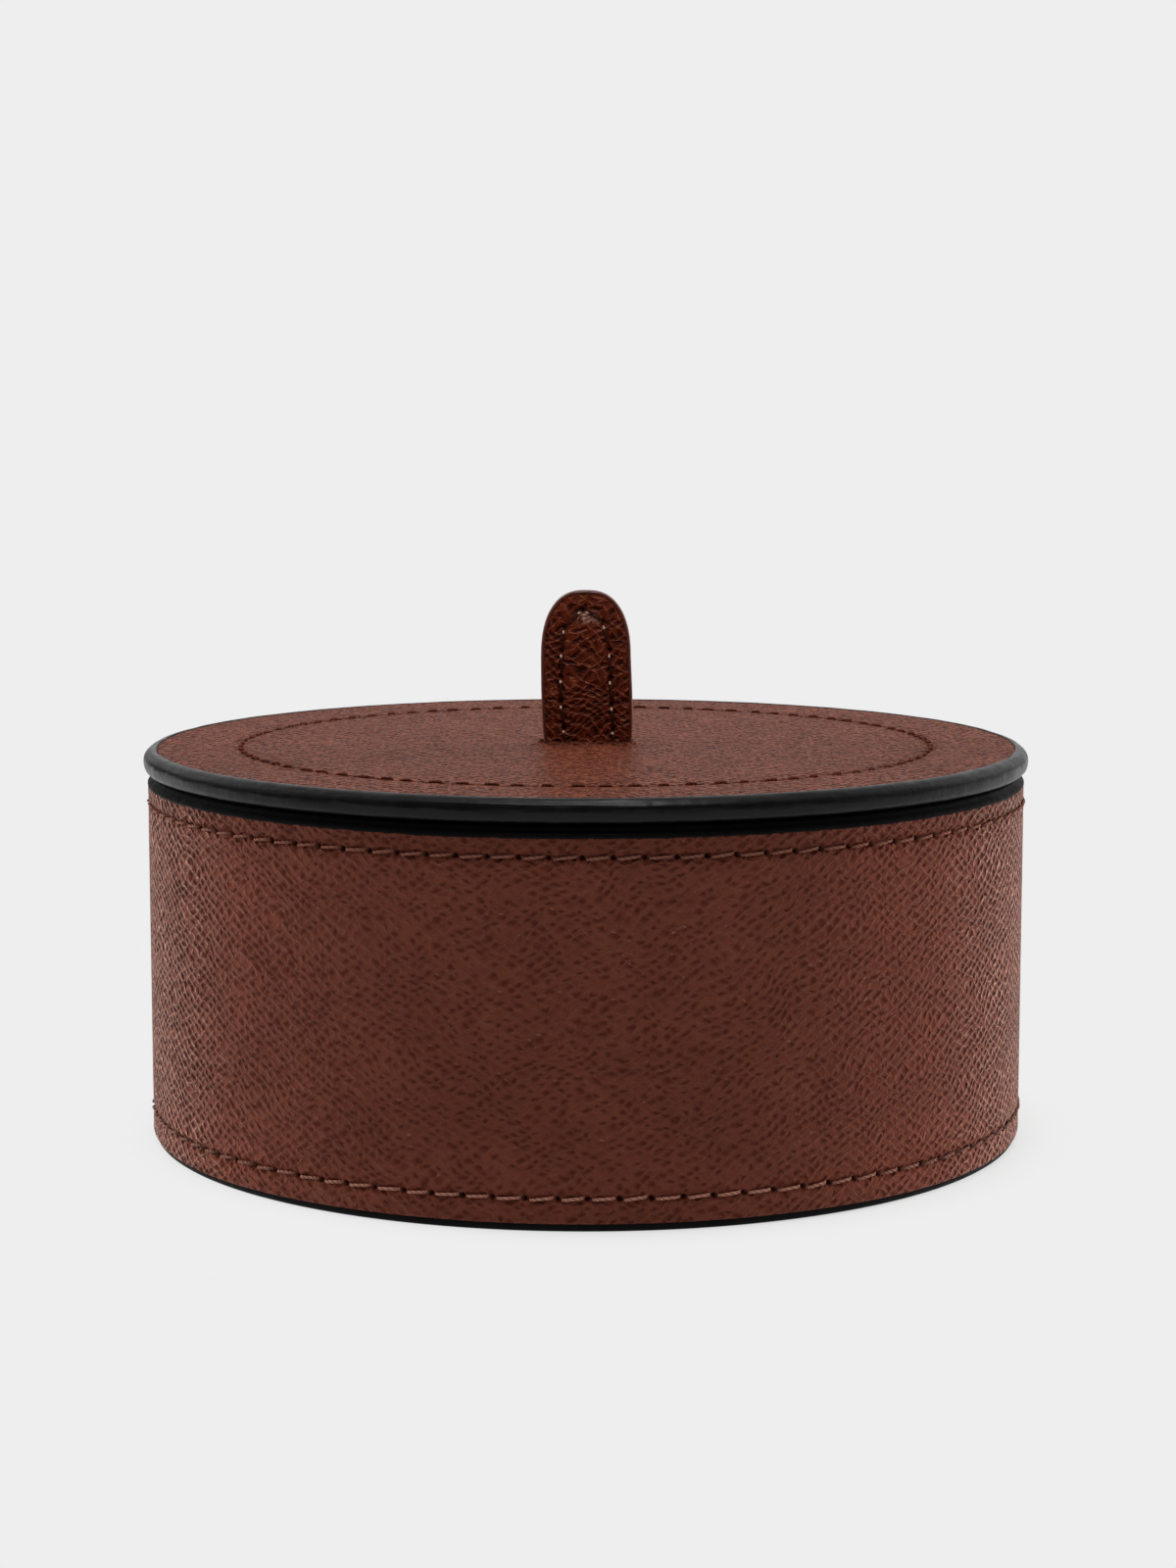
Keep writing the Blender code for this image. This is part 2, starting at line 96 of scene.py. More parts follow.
def stepped(value, start, end, low=0.0, high=1.0):
    """A soft step from low to high while the value goes from start to end."""
    sockets = {"Value": value, "From Min": start, "From Max": end, "To Min": low, "To Max": high}
    return put("MapRange", sockets, interpolation_type="SMOOTHSTEP").outputs[0]


def noise(place, scale, detail=2.0, roughness=0.5):
    """Soft noise from 0 to 1, at a number of lumps a unit of place."""
    sockets = {"Vector": place, "Scale": scale, "Detail": detail, "Roughness": roughness}
    return put("TexNoise", sockets).outputs[0]


def new_finish(name, roughness, specular=0.5):
    """A material with a Principled shader, and its place on the object in millimetres."""
    finish = bpy.data.materials.new(name)
    finish.use_nodes = True
    tree = finish.node_tree
    shader = tree.nodes["Principled BSDF"]
    shader.inputs["Roughness"].default_value = roughness
    shader.inputs["Specular IOR Level"].default_value = specular
    place = new_node(tree, "TexCoord").outputs["Object"]
    return finish, shader, scaled(place, 1 / MM)


def surface(shader, colour, height, depth):
    """The shader's colour, and its bumps: a height from 0 to 1 times a depth in metres."""
    link(colour, shader.inputs["Base Color"])
    bump = put("Bump", {"Height": height, "Distance": depth, "Strength": 1.0})
    link(bump.outputs[0], shader.inputs["Normal"])


def dress(piece, finish):
    """Gives a piece this one material."""
    piece.data.materials.clear()
    piece.data.materials.append(finish)


grey_board, shader, place = new_finish("grey_board", 0.9, 0.2)
fibres = noise(vector_maths("MULTIPLY", place, (1.0, 3.0, 6.0)), 1.1, 6.0, 0.7)
flecks = stepped(noise(place, 2.6, 3.0), 0.62, 0.7)
pulp = mixed(fibres, (0.16, 0.13, 0.10, 1), (0.34, 0.30, 0.24, 1))
surface(shader, mixed(flecks, pulp, (0.10, 0.08, 0.07, 1)), fibres, 0.00006)
for board in ("wall_board", "floor_board", "lid_board", "plug_board", "tab_core"):
    dress(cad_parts[board], grey_board)

# Linings
# Brown microsuede, glued round the inside of the wall with a lapped joint at the back, over a thin
# pad on the floor, and over the plug, where it wraps the rim and is caught under the lid.

LINING_INNER = 60.5 * MM
LINING_OUTER = 61.3 * MM
LINING_FOOT = 3.85 * MM
LINING_TOP = 53.35 * MM
PAD_FOOT = 3.85 * MM
PAD_TOP = 4.85 * MM
PAD_RADIUS = 60.2 * MM
PLUG_CUP_OUTER = 60.2 * MM
PLUG_CUP_INNER = 59.95 * MM
PLUG_CUP_BOTTOM = 49.45 * MM
PLUG_CUP_FLOOR = 50.25 * MM
PLUG_CUP_TOP = 54.75 * MM
LINING_STEPS = 240
SECTORS = 12


def close_ends(piece):
    """In edit mode: a face over the open end on each side of X = 0."""
    shell = bmesh.from_edit_mesh(piece.data)
    for side in (-1, 1):
        bpy.ops.mesh.select_all(action="DESELECT")
        for edge in shell.edges:
            if edge.is_boundary and edge.verts[0].co.x * side > 0:
                edge.select_set(True)
        bpy.ops.mesh.edge_face_add()


def edit_all():
    """Enters edit mode with the whole mesh selected."""
    bpy.ops.object.mode_set(mode="EDIT")
    bpy.ops.mesh.select_all(action="SELECT")


def finish_shape(smooth_below):
    """In edit mode: turns all faces outwards, leaves edit mode and smooths up to an angle in degrees."""
    bpy.ops.mesh.select_all(action="SELECT")
    bpy.ops.mesh.normals_make_consistent(inside=False)
    bpy.ops.object.mode_set(mode="OBJECT")
    bpy.ops.object.shade_smooth_by_angle(angle=math.radians(smooth_below))


def named(name):
    """The object just made, with this name for it and its mesh."""
    piece = bpy.context.object
    piece.name = piece.data.name = name
    return piece


def drawn_and_spun(name, profile, steps, closed=True, gap=0.0):
    """A profile of (radius, height) points, extruded at the back, spun and arrayed round the box's axis.

    A closed profile joins its ends. The gap is an angle left open in the middle of the back."""
    sector = (2 * math.pi - gap) / SECTORS
    bpy.ops.object.select_all(action="DESELECT")
    bpy.ops.object.empty_add(rotation=(0, 0, -sector))
    turned = bpy.context.object
    bpy.ops.mesh.primitive_plane_add(size=0.0002, calc_uvs=False)
    piece = named(name)
    turn = Matrix.Rotation(-gap / 2, 3, "Z")
    points = [turn @ Vector((0, radius, height)) for radius, height in profile]
    bpy.ops.object.mode_set(mode="EDIT")
    bpy.ops.mesh.merge(type="CENTER")
    bpy.ops.transform.translate(value=points[0])
    for last, point in zip(points, points[1:]):
        bpy.ops.mesh.extrude_vertices_move(TRANSFORM_OT_translate={"value": point - last})
    if closed:
        shell = bmesh.from_edit_mesh(piece.data)
        shell.verts.ensure_lookup_table()
        bpy.ops.mesh.select_all(action="DESELECT")
        shell.verts[0].select_set(True)
        shell.verts[len(points) - 1].select_set(True)
        shell.select_flush(True)
        bpy.ops.mesh.edge_face_add()
    bpy.ops.mesh.select_all(action="SELECT")
    bpy.ops.mesh.spin(steps=steps // SECTORS, angle=sector, center=(0, 0, 0), axis=(0, 0, 1))
    bpy.ops.object.mode_set(mode="OBJECT")
    around = piece.modifiers.new("around", "ARRAY")
    around.count = SECTORS
    around.use_relative_offset = False
    around.use_object_offset = True
    around.offset_object = turned
    around.use_merge_vertices = True
    around.merge_threshold = 1e-6
    bpy.ops.object.modifier_apply(modifier=around.name)
    bpy.data.objects.remove(turned)
    edit_all()
    bpy.ops.mesh.remove_doubles(threshold=2e-6)
    if gap:
        close_ends(piece)
    finish_shape(50)
    return piece


def rounded(radius, height, across, up, size, steps=3):
    """Points of a quarter round corner; across and up say which way its two sides leave it."""
    centre = (radius + across * size, height + up * size)
    turns = [math.pi / 2 * step / steps for step in range(steps + 1)]
    return [(centre[0] - across * size * math.cos(a), centre[1] - up * size * math.sin(a)) for a in turns]


suede, shader, place = new_finish("brown_suede", 0.95, 0.15)
nap = noise(place, 3.2, 5.0, 0.65)
brushed = noise(vector_maths("MULTIPLY", place, (1.0, 1.0, 0.5)), 0.11, 2.0)
pile = mixed(nap, (0.070, 0.034, 0.020, 1), (0.165, 0.095, 0.062, 1))
tone = mixed(stepped(brushed, 0.35, 0.65, 0.0, 0.35), pile, (0.19, 0.115, 0.08, 1))
surface(shader, tone, nap, 0.00009)
shader.inputs["Sheen Weight"].default_value = 0.35
shader.inputs["Sheen Roughness"].default_value = 0.5

lining = [
    *rounded(LINING_OUTER, LINING_FOOT, -1, 1, 0.1 * MM, 1),
    (LINING_OUTER, 30 * MM),
    *rounded(LINING_OUTER, LINING_TOP, -1, -1, 0.1 * MM, 1)[::-1],
    *rounded(LINING_INNER, LINING_TOP, 1, -1, 0.25 * MM)[::-1],
    (LINING_INNER, 40 * MM),
    (LINING_INNER, 20 * MM),
    *rounded(LINING_INNER, LINING_FOOT, 1, 1, 0.1 * MM, 1),
]
wall_lining = drawn_and_spun("wall_lining_suede", lining, LINING_STEPS, gap=0.006)
dress(wall_lining, suede)

pad = [
    (0.0, PAD_FOOT),
    *rounded(PAD_RADIUS, PAD_FOOT, -1, 1, 0.2 * MM, 2)[::-1],
    *rounded(PAD_RADIUS, PAD_TOP, -1, -1, 0.6 * MM, 4),
    (57 * MM, PAD_TOP + 0.02 * MM),
    (30 * MM, PAD_TOP),
    (0.0, PAD_TOP),
]
floor_pad = drawn_and_spun("floor_pad_suede", pad, LINING_STEPS, closed=False)
dress(floor_pad, suede)

cup = [
    (0.0, PLUG_CUP_BOTTOM),
    (30 * MM, PLUG_CUP_BOTTOM - 0.03 * MM),
    *rounded(PLUG_CUP_OUTER, PLUG_CUP_BOTTOM, -1, 1, 0.9 * MM, 5)[::-1],
    *rounded(PLUG_CUP_OUTER, PLUG_CUP_TOP, -1, -1, 0.08 * MM, 1),
    (PLUG_CUP_INNER, PLUG_CUP_TOP),
    (PLUG_CUP_INNER, PLUG_CUP_FLOOR),
    (0.0, PLUG_CUP_FLOOR),
]
plug_cup = drawn_and_spun("plug_suede", cup, LINING_STEPS, closed=False)
dress(plug_cup, suede)

for piece, node, body in (
    (wall_lining, "wall_lining", "base"),
    (floor_pad, "floor_lining", "base"),
    (plug_cup, "plug_lining", "lid"),
):
    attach(piece, body)
    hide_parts(node)

# Leather round the wall
# One strip of grained brown hide, skived, wrapped round the board and butted at the back. Tight
# stitches press a shallow bed into it near both edges, with a round awl hole at each end.

WALL_FACE = 65.4 * MM
WALL_INNER = 63.9 * MM
WALL_FOOT = 0.88 * MM
WALL_TOP = 53.25 * MM
TOP_ROW = (50.4 * MM, 98, -0.43)  # height, number of stitches, and degrees to the first hole
BOTTOM_ROW = (4.65 * MM, 96, 0.38)
SEAM_GAP = 0.22 * MM
WALL_STEPS = 1800
GLAZE_TINT = (1.0, 0.62, 0.50, 1)
# Painted shade in the pits at the sides of the wall.
PIT_IN_PAINTED_SHADE = (0.03, 0.005, 0.002, 1)
# Colour of a painted highlight patch below the tab's apex.
PAINTED_HIGHLIGHT_PATCH = (0.62, 0.34, 0.26, 1)
# Painted shade inside the awl holes.
HOLE_IN_PAINTED_SHADE = (0.004, 0.002, 0.0015, 1)


def points_of(piece):
    """The piece's vertices as an array."""
    flat = np.empty(len(piece.data.vertices) * 3)
    piece.data.vertices.foreach_get("co", flat)
    return flat.reshape(-1, 3)


def round_axis(at):
    """Each point's distance from the box's axis, and its angle from the front."""
    return np.hypot(at[:, 0], at[:, 1]), np.arctan2(at[:, 0], -at[:, 1])


def move_points(piece, points):
    """Puts the piece's vertices back where an array says."""
    piece.data.vertices.foreach_set("co", points.astype(np.float32).ravel())
    piece.data.update()


def awl_holes(count, first, radius, wander, seed):
    """Distances round a circle of the holes that an awl made by hand, a little unevenly."""
    hand = random.Random(seed)
    pitch = 2 * math.pi * radius / count
    start = math.radians(first) * radius
    steps = range(-(count // 2), count - count // 2)
    return np.array([start + pitch * step + hand.uniform(-wander, wander) for step in steps])


def pressed(along, across, holes, length, bed=0.34, hole=0.85, lean=0.30, wide=0.40, running=False):
    """How far, in metres, stitches and their holes press a row of leather in, and how much of it is hole.

    In millimetres: the depth of the bed under a stitch and of a hole, how far a stitch leans up to its
    end, and half a hole's width. A running stitch lies on the leather from every other hole only."""
    along = (along - holes[0]) % length + holes[0]
    ring = np.append(holes, holes[0] + length)
    left = np.clip(np.searchsorted(ring, along, side="right") - 1, 0, len(holes) - 1)
    pitch = ring[left + 1] - ring[left]
    share = (along - ring[left]) / pitch
    near = np.minimum(along - ring[left], ring[left + 1] - along) / MM
    line = across / MM - (share - 0.5) * lean
    awl = np.exp(-((near**2 + (across / MM) ** 2) / wide**2) ** 1.3)
    laid = np.clip((near - 0.15) / 0.5, 0, 1)
    laid = laid * laid * (3 - 2 * laid) * ((left % 2 == 0) | (not running))
    trough = bed * np.exp(-((line / 0.42) ** 2)) * laid
    drawn = 0.09 * np.exp(-((across / MM / 1.5) ** 2))
    puff = 0.055 * np.sin(math.pi * share) * np.exp(-(((np.abs(line) - 0.95) / 0.45) ** 2))
    return (np.maximum(hole * awl, trough) + drawn - puff) * MM, awl


def swell(angle, seed, waves, size):
    """A slow unevenness round a circle, from a few seeded waves."""
    hand = random.Random(seed)
    total = np.zeros_like(angle)
    for wave in waves:
        total += np.sin(angle * wave + hand.uniform(0, 6.28)) * hand.uniform(0.5, 1.0)
    return total * size / len(waves)


def thicker_front(angle):
    """How much higher the foot's paint reaches at the front than at the sides, in metres."""
    return 0.24 * MM * np.exp(-((angle / 0.75) ** 4))


def mark(piece, name, values):
    """Keeps a share from 0 to 1 on each vertex for the material to read."""
    piece.data.attributes.new(name, "FLOAT", "POINT").data.foreach_set("value", values.astype(np.float32))


def maths(operation, *values):
    """The result of one sum on numbers or outputs."""
    return put("Math", enumerate(values), operation=operation).outputs[0]


def plus(first, second):
    """The sum of two numbers or outputs."""
    return maths("ADD", first, second)


def minus(first, second):
    """The first less the second."""
    return maths("SUBTRACT", first, second)


def times(first, second):
    """The product of two numbers or outputs."""
    return maths("MULTIPLY", first, second)


def times_plus(first, second, third):
    """The product of the first two, plus the third."""
    return maths("MULTIPLY_ADD", first, second, third)


def parts(vector):
    """A vector's X, Y and Z."""
    return put("SeparateXYZ", {0: vector}).outputs


def new_group(name, numbers, outputs):
    """An empty shader node group that takes a place and some numbers, named with their defaults. All it
    gives are numbers too, apart from a flat place. Returns it, its inputs and its output node."""
    group = bpy.data.node_groups.new(name, "ShaderNodeTree")
    new_socket = group.interface.new_socket
    new_socket("Place", in_out="INPUT", socket_type="NodeSocketVector")
    for label, value in numbers.items():
        new_socket(label, in_out="INPUT", socket_type="NodeSocketFloat").default_value = value
    for label in outputs:
        kind = "NodeSocketVector" if label == "Flat" else "NodeSocketFloat"
        new_socket(label, in_out="OUTPUT", socket_type=kind)
    return group, group.nodes.new("NodeGroupInput").outputs, group.nodes.new("NodeGroupOutput")


def give(out, *values):
    """Plugs a group's results into its output node, in order."""
    for value, socket in zip(values, out.inputs):
        link(value, socket)


def place_group(group, sockets):
    """A group placed in a material with its own values; returns its outputs."""
    return put("Group", sockets, node_tree=group).outputs


# The hide's grain as one node group, at a place given in millimetres on the flattened hide: two
# families of fine ridges that cross on the slant, and a pit in each cell between them.
grain_inputs = {
    "Lean": 0.0, "Cell width": 2.35, "Cell height": 1.45, "Unevenness": 1.0,
    "Pit width": 0.42, "Pit height": 0.25, "Ridge": 0.25,
}
grain_outputs = ("Pits", "Ridges", "Height", "Tone", "Painted glints")
hide_grain, given, out = new_group("hide_grain", grain_inputs, grain_outputs)
spot = given["Place"]
for fineness, reach in ((0.12, 3.0), (0.62, 0.8), (1.9, 0.2)):
    sockets = {"Vector": given["Place"], "Scale": fineness, "Detail": 1.0}
    push = put("TexNoise", sockets).outputs["Color"]
    push = vector_maths("SUBTRACT", push, (0.5, 0.5, 0.5))
    push = scaled(push, times(given["Unevenness"], reach))
    spot = vector_maths("ADD", spot, push)
axes = parts(spot)
across = maths("DIVIDE", axes[0], given["Cell width"])
up = maths("DIVIDE", axes[1], given["Cell height"])
slant = put("CombineXYZ", {0: plus(across, up), 1: minus(across, up)}).outputs[0]
cell = vector_maths("FLOOR", slant)
chance = put("TexWhiteNoise", {"Vector": cell}, noise_dimensions="2D").outputs["Color"]
within = vector_maths("SUBTRACT", vector_maths("FRACTION", slant), (0.5, 0.5, 0.0))
shift = scaled(vector_maths("SUBTRACT", chance, (0.5, 0.5, 0.5)), 0.36)
away = parts(vector_maths("SUBTRACT", within, shift))
within = parts(within)
chance = parts(chance)
ridges = []
for side, weight in ((0, 0.27), (1, -0.27)):
    line = minus(0.5, maths("ABSOLUTE", within[side]))
    apart = vector_maths("ADD", spot, (37.0 * side, 0.0, 0.0))
    broken = stepped(noise(apart, 1.2, 1.0), 0.36, 0.60, 0.10, 1.0)
    share = times(broken, times_plus(given["Lean"], weight, 0.68))
    ridges.append(times(stepped(line, 0.0, given["Ridge"], 1.0, 0.0), share))
ridges = maths("MAXIMUM", *ridges)
size = times_plus(chance[0], 0.6, 0.65)
du = times(plus(away[0], away[1]), times(given["Cell width"], 0.5))
dv = times(minus(away[0], away[1]), times(given["Cell height"], 0.5))
slope = times_plus(chance[2], 0.5, -0.2)
dv = minus(dv, times(du, times_plus(given["Lean"], -0.3, slope)))
du = maths("DIVIDE", du, times(given["Pit width"], size))
dv = maths("DIVIDE", dv, times(given["Pit height"], size))
oval = maths("SQRT", plus(times(du, du), times(dv, dv)))
uneven = minus(noise(given["Place"], 2.2, 1.0), 0.5)
oval = times_plus(uneven, 0.9, oval)
depth = stepped(chance[1], 0.0, 0.55, 0.3, 1.0)
pits = times(stepped(oval, 0.0, 1.55, 1.0, 0.0), depth)
above = minus(dv, 1.2)  # a few pits get a painted highlight on their upper lip
glint = plus(times(du, du), times(above, above))
painted_glints = times(stepped(glint, 0.0, 0.35, 1.0, 0.0), stepped(chance[0], 0.93, 0.99))
pores = noise(given["Place"], 5.0, 3.0, 0.6)
height = times_plus(ridges, 0.5, 0.5)
height = minus(height, times(pits, 0.5))
height = times_plus(pores, 0.16, height)
tones = noise(given["Place"], 0.08, 3.0)
give(out, pits, ridges, height, tones, painted_glints)

# The place on the strip as it lay flat: round the wall and up it, in millimetres. The hide's ridges
# lean the way they do on the left of the wall, and the other way on its right, which paints in how the
# side light picks them out there. The hide is darker near the rim, as painted shade under the lid's
# edge, and paler near the foot, as painted light thrown up by the table.
FLAT_HIDE = ("Flat", "Lean", "Painted light and shade")
flattened, given, out = new_group("round_the_wall", {}, FLAT_HIDE)
axes = parts(given["Place"])
turned = maths("ARCTAN2", axes[0], times(axes[1], -1.0))
flat = put("CombineXYZ", {0: times(turned, WALL_FACE / MM), 1: axes[2]}).outputs[0]
# Painted shade and light: the hide is made darker under the lid's edge and paler near the foot.
painted_shade_under_lid = stepped(axes[2], 47.0, 53.0, 1.0, 0.82)
painted_light_near_foot = stepped(axes[2], 1.0, 16.0, 1.18, 1.0)
give(out, flat, times(maths("SINE", turned), -1.0), times(painted_shade_under_lid, painted_light_near_foot))


def leather(name, roughness, specular, flat_by, grain, colours, depth, glaze=0.0, lumps=0.0):
    """A grained leather: colours are (face, pit, ridge, painted highlight), grain the hide_grain group's
    own values.

    flat_by is the group that lays the hide flat, if any; where it leans by much, at the sides, the
    grain's relief is bolder, its ridges are painted paler and its pits darker, as painted highlight and
    shade. The glaze is the share of the finish that shines in the hide's own warm tint, as Metallic does.
    The lumps are a softer, larger relief under the grain, with paler crests that are a painted
    highlight. One vertex share marks a painted highlight patch, and another the awl holes, which are
    painted near-black as shade."""
    finish, shader, place = new_finish(name, roughness, specular)
    shader.inputs["Metallic"].default_value = glaze
    shader.inputs["Specular Tint"].default_value = GLAZE_TINT
    tree = shader.id_data
    if flat_by:
        laid = place_group(flat_by, {"Place": place})
        place = laid[0]
        grain = {**grain, "Lean": laid[1]}
        drawn = stepped(maths("ABSOLUTE", laid[1]), 0.70, 0.97)
        painted_light_and_shade = laid[2]
    else:
        drawn = new_node(tree, "Value").outputs[0]  # nought
        painted_light_and_shade = 1.0
    made = place_group(hide_grain, {"Place": place, **grain})
    face, pit, ridge, painted_highlight_colour = colours
    soft = noise(vector_maths("MULTIPLY", place, (1.5, 1.0, 1.0)), 0.55, 3.0, 0.6)
    # The hide's random tone, times its painted light and shade near the rim and foot.
    deep = times(stepped(made["Tone"], 0.3, 0.7, 0.93, 1.06), painted_light_and_shade)
    if lumps:
        from_crest = maths("ABSOLUTE", minus(soft, 0.5))
        # The lumps' crests are raised and painted paler: a painted highlight of the lid's sheen.
        crest_bump_and_painted_highlight = stepped(from_crest, 0.0, 0.09, 1.0, 0.0)
        deep = times(deep, times_plus(crest_bump_and_painted_highlight, 0.72, 0.67))
        soft = times_plus(crest_bump_and_painted_highlight, 0.06, soft)
    # At the sides of the wall the ridges are painted paler and the pits darker: painted highlight and
    # shade.
    shown = times(made["Ridges"], times_plus(drawn, 0.25, 0.70))
    colour = mixed(shown, face, mixed(drawn, ridge, painted_highlight_colour))
    pit_in_painted_shade = mixed(times(drawn, 0.5), pit, PIT_IN_PAINTED_SHADE)
    colour = mixed(made["Pits"], colour, pit_in_painted_shade)
    # A few pits' upper lips get a painted highlight.
    colour = mixed(times(made["Painted glints"], 0.16), colour, painted_highlight_colour)
    toned = scaled(colour, deep)
    # A painted highlight patch, where a vertex share marks it, mottled.
    painted_apex_highlight = new_node(tree, "Attribute", attribute_name="painted_apex_highlight").outputs["Fac"]
    painted_apex_highlight = times(painted_apex_highlight, stepped(noise(place, 1.9, 3.0, 0.65), 0.40, 0.60))
    toned = mixed(painted_apex_highlight, toned, PAINTED_HIGHLIGHT_PATCH)
    # The awl holes are painted near-black: painted shade inside them.
    hole = new_node(tree, "Attribute", attribute_name="awl").outputs["Fac"]
    worn = times_plus(made["Pits"], 0.22, roughness)
    link(minus(worn, times(made["Ridges"], 0.08)), shader.inputs["Roughness"])
    height = times(made["Height"], times_plus(drawn, 1.9, 1.0))
    height = times_plus(soft, lumps, height)
    surface(shader, mixed(hole, toned, HOLE_IN_PAINTED_SHADE), height, depth)
    return finish


# Face, pit, ridge, and a paler colour that is a painted highlight on the side ridges and on a few pits.
wall_colours = (
    (0.158, 0.041, 0.024, 1), (0.086, 0.0165, 0.0078, 1), (0.176, 0.056, 0.038, 1), (0.85, 0.44, 0.32, 1),
)
wall_grain = {
    "Cell width": 2.25, "Cell height": 1.45, "Unevenness": 1.15, "Pit width": 0.52, "Pit height": 0.31,
}
wall_hide = leather("wall_grained_leather", 0.46, 0.13, flattened, wall_grain, wall_colours, 0.00060)

ROW_STEPS = range(-6, 7)  # the leather is finer where a row of stitches presses it
strip = [
    *rounded(WALL_FACE, WALL_FOOT, -1, 1, 0.5 * MM)[::-1],
    (WALL_FACE, 2.7 * MM),
    *[(WALL_FACE, BOTTOM_ROW[0] + step * 0.22 * MM) for step in ROW_STEPS],
    *[(WALL_FACE, height * MM) for height in (7.5, 12, 18, 24, 30, 36, 42, 47)],
    *[(WALL_FACE, TOP_ROW[0] + step * 0.22 * MM) for step in ROW_STEPS],
    (WALL_FACE, 52.4 * MM),
    *rounded(WALL_FACE, WALL_TOP, -1, -1, 0.5 * MM),
    (WALL_INNER, WALL_TOP),
    (WALL_INNER, WALL_FOOT),
]
wall = drawn_and_spun("wall_leather_strip", strip, WALL_STEPS, gap=SEAM_GAP / WALL_FACE)
at = points_of(wall)
radius, angle = round_axis(at)
outer = radius > WALL_FACE - 0.6 * MM
top_holes = awl_holes(TOP_ROW[1], TOP_ROW[2], WALL_FACE, 0.16 * MM, 5)
bottom_holes = awl_holes(BOTTOM_ROW[1], BOTTOM_ROW[2], WALL_FACE, 0.18 * MM, 9)
around = 2 * math.pi * WALL_FACE
sunk_top, awl_top = pressed(angle * WALL_FACE, at[:, 2] - TOP_ROW[0], top_holes, around)
sunk_bottom, awl_bottom = pressed(angle * WALL_FACE, at[:, 2] - BOTTOM_ROW[0], bottom_holes, around)
seam = np.pi - np.abs(angle)
inset = sunk_top + sunk_bottom + 0.28 * MM * np.exp(-((seam * WALL_FACE / (0.5 * MM)) ** 2))
inset -= swell(angle, 3, (2, 3, 5, 9, 14), 0.05 * MM) * np.sin(at[:, 2] / WALL_TOP * math.pi)
moved = (radius - inset * outer) / radius
at[:, :2] *= moved[:, None]
at[:, 2] += thicker_front(angle) * (at[:, 2] < WALL_FOOT + 0.55 * MM)
move_points(wall, at)
mark(wall, "awl", np.clip(np.maximum(awl_top, awl_bottom) * 1.25 - 0.15, 0, 1) * outer)
dress(wall, wall_hide)
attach(wall, "base")
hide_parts("wall_leather")

# Thread of the wall
# Waxed brown thread of two twisted plies, saddle stitched, so that each stitch leans up to the right
# as it goes from one awl hole to the next, and dives into the leather at both ends. The upper row's
# thread is a darker copy of it, as painted shade under the lid's edge; the lower row's is paler, and
# darker toward the sides of the wall.

THREAD = 0.24 * MM  # half its thickness
STITCH_LENGTH = 4.2 * MM
TWIST = 0.95 * MM


def new_grid(name, across, up, mapped=False):
    """A flat grid from -0.5 to 0.5 in X and Y, the start of a piece that is shaped by its points."""
    bpy.ops.object.select_all(action="DESELECT")
    bpy.ops.mesh.primitive_grid_add(x_subdivisions=across, y_subdivisions=up, size=1, calc_uvs=mapped)
    return named(name)


def close_tube(piece, points, smooth_below):
    """Puts a grid's vertices round a tube, joins its seam and closes its ends."""
    move_points(piece, points)
    edit_all()
    bpy.ops.mesh.remove_doubles(threshold=1e-7)
    close_ends(piece)
    finish_shape(smooth_below)


def one_stitch():
    """A stitch along X from hole to hole, standing out to -Y: a flat grid rolled into a tube."""
    piece = new_grid("stitch", 9, 8, mapped=True)
    at = points_of(piece)
    share = at[:, 0] + 0.5
    turn = (at[:, 1] + 0.5) * 2 * math.pi
    stations = np.linspace(0, 1, 10)
    along = np.interp(share, stations, [0.09, 0.115, 0.15, 0.22, 0.38, 0.60, 0.78, 0.85, 0.885, 0.91])
    out = np.interp(share, stations, [-1.1, -0.65, -0.20, 0.03, 0.07, 0.07, 0.03, -0.20, -0.65, -1.1])
    rise = np.interp(share, stations, [-0.08, -0.12, -0.16, -0.14, -0.06, 0.04, 0.12, 0.16, 0.12, 0.08])
    thick = np.interp(share, stations, [0.6, 0.85, 1.0, 1.0, 1.0, 1.0, 1.0, 1.0, 0.85, 0.6])
    at[:, 0] = (along - 0.5) * STITCH_LENGTH
    at[:, 1] = -out * MM - np.cos(turn) * THREAD * thick * 0.85
    at[:, 2] = rise * MM + np.sin(turn) * THREAD * thick
    close_tube(piece, at, 60)
    return piece


def into_scene(name, data):
    """A new object with this data, linked into the scene."""
    made = bpy.data.objects.new(name, data)
    bpy.context.scene.collection.objects.link(made)
    return made


def sew(name, stitch, places):
    """A row of stitches: one copy of the modelled stitch at each place, joined into one piece."""
    bpy.ops.object.select_all(action="DESELECT")
    for number, place in enumerate(places):
        copy = into_scene(f"{name}_{number}", stitch.data.copy())
        copy.data.transform(place)
        copy.select_set(True)
        bpy.context.view_layer.objects.active = copy
    bpy.ops.object.join()
    return named(name)


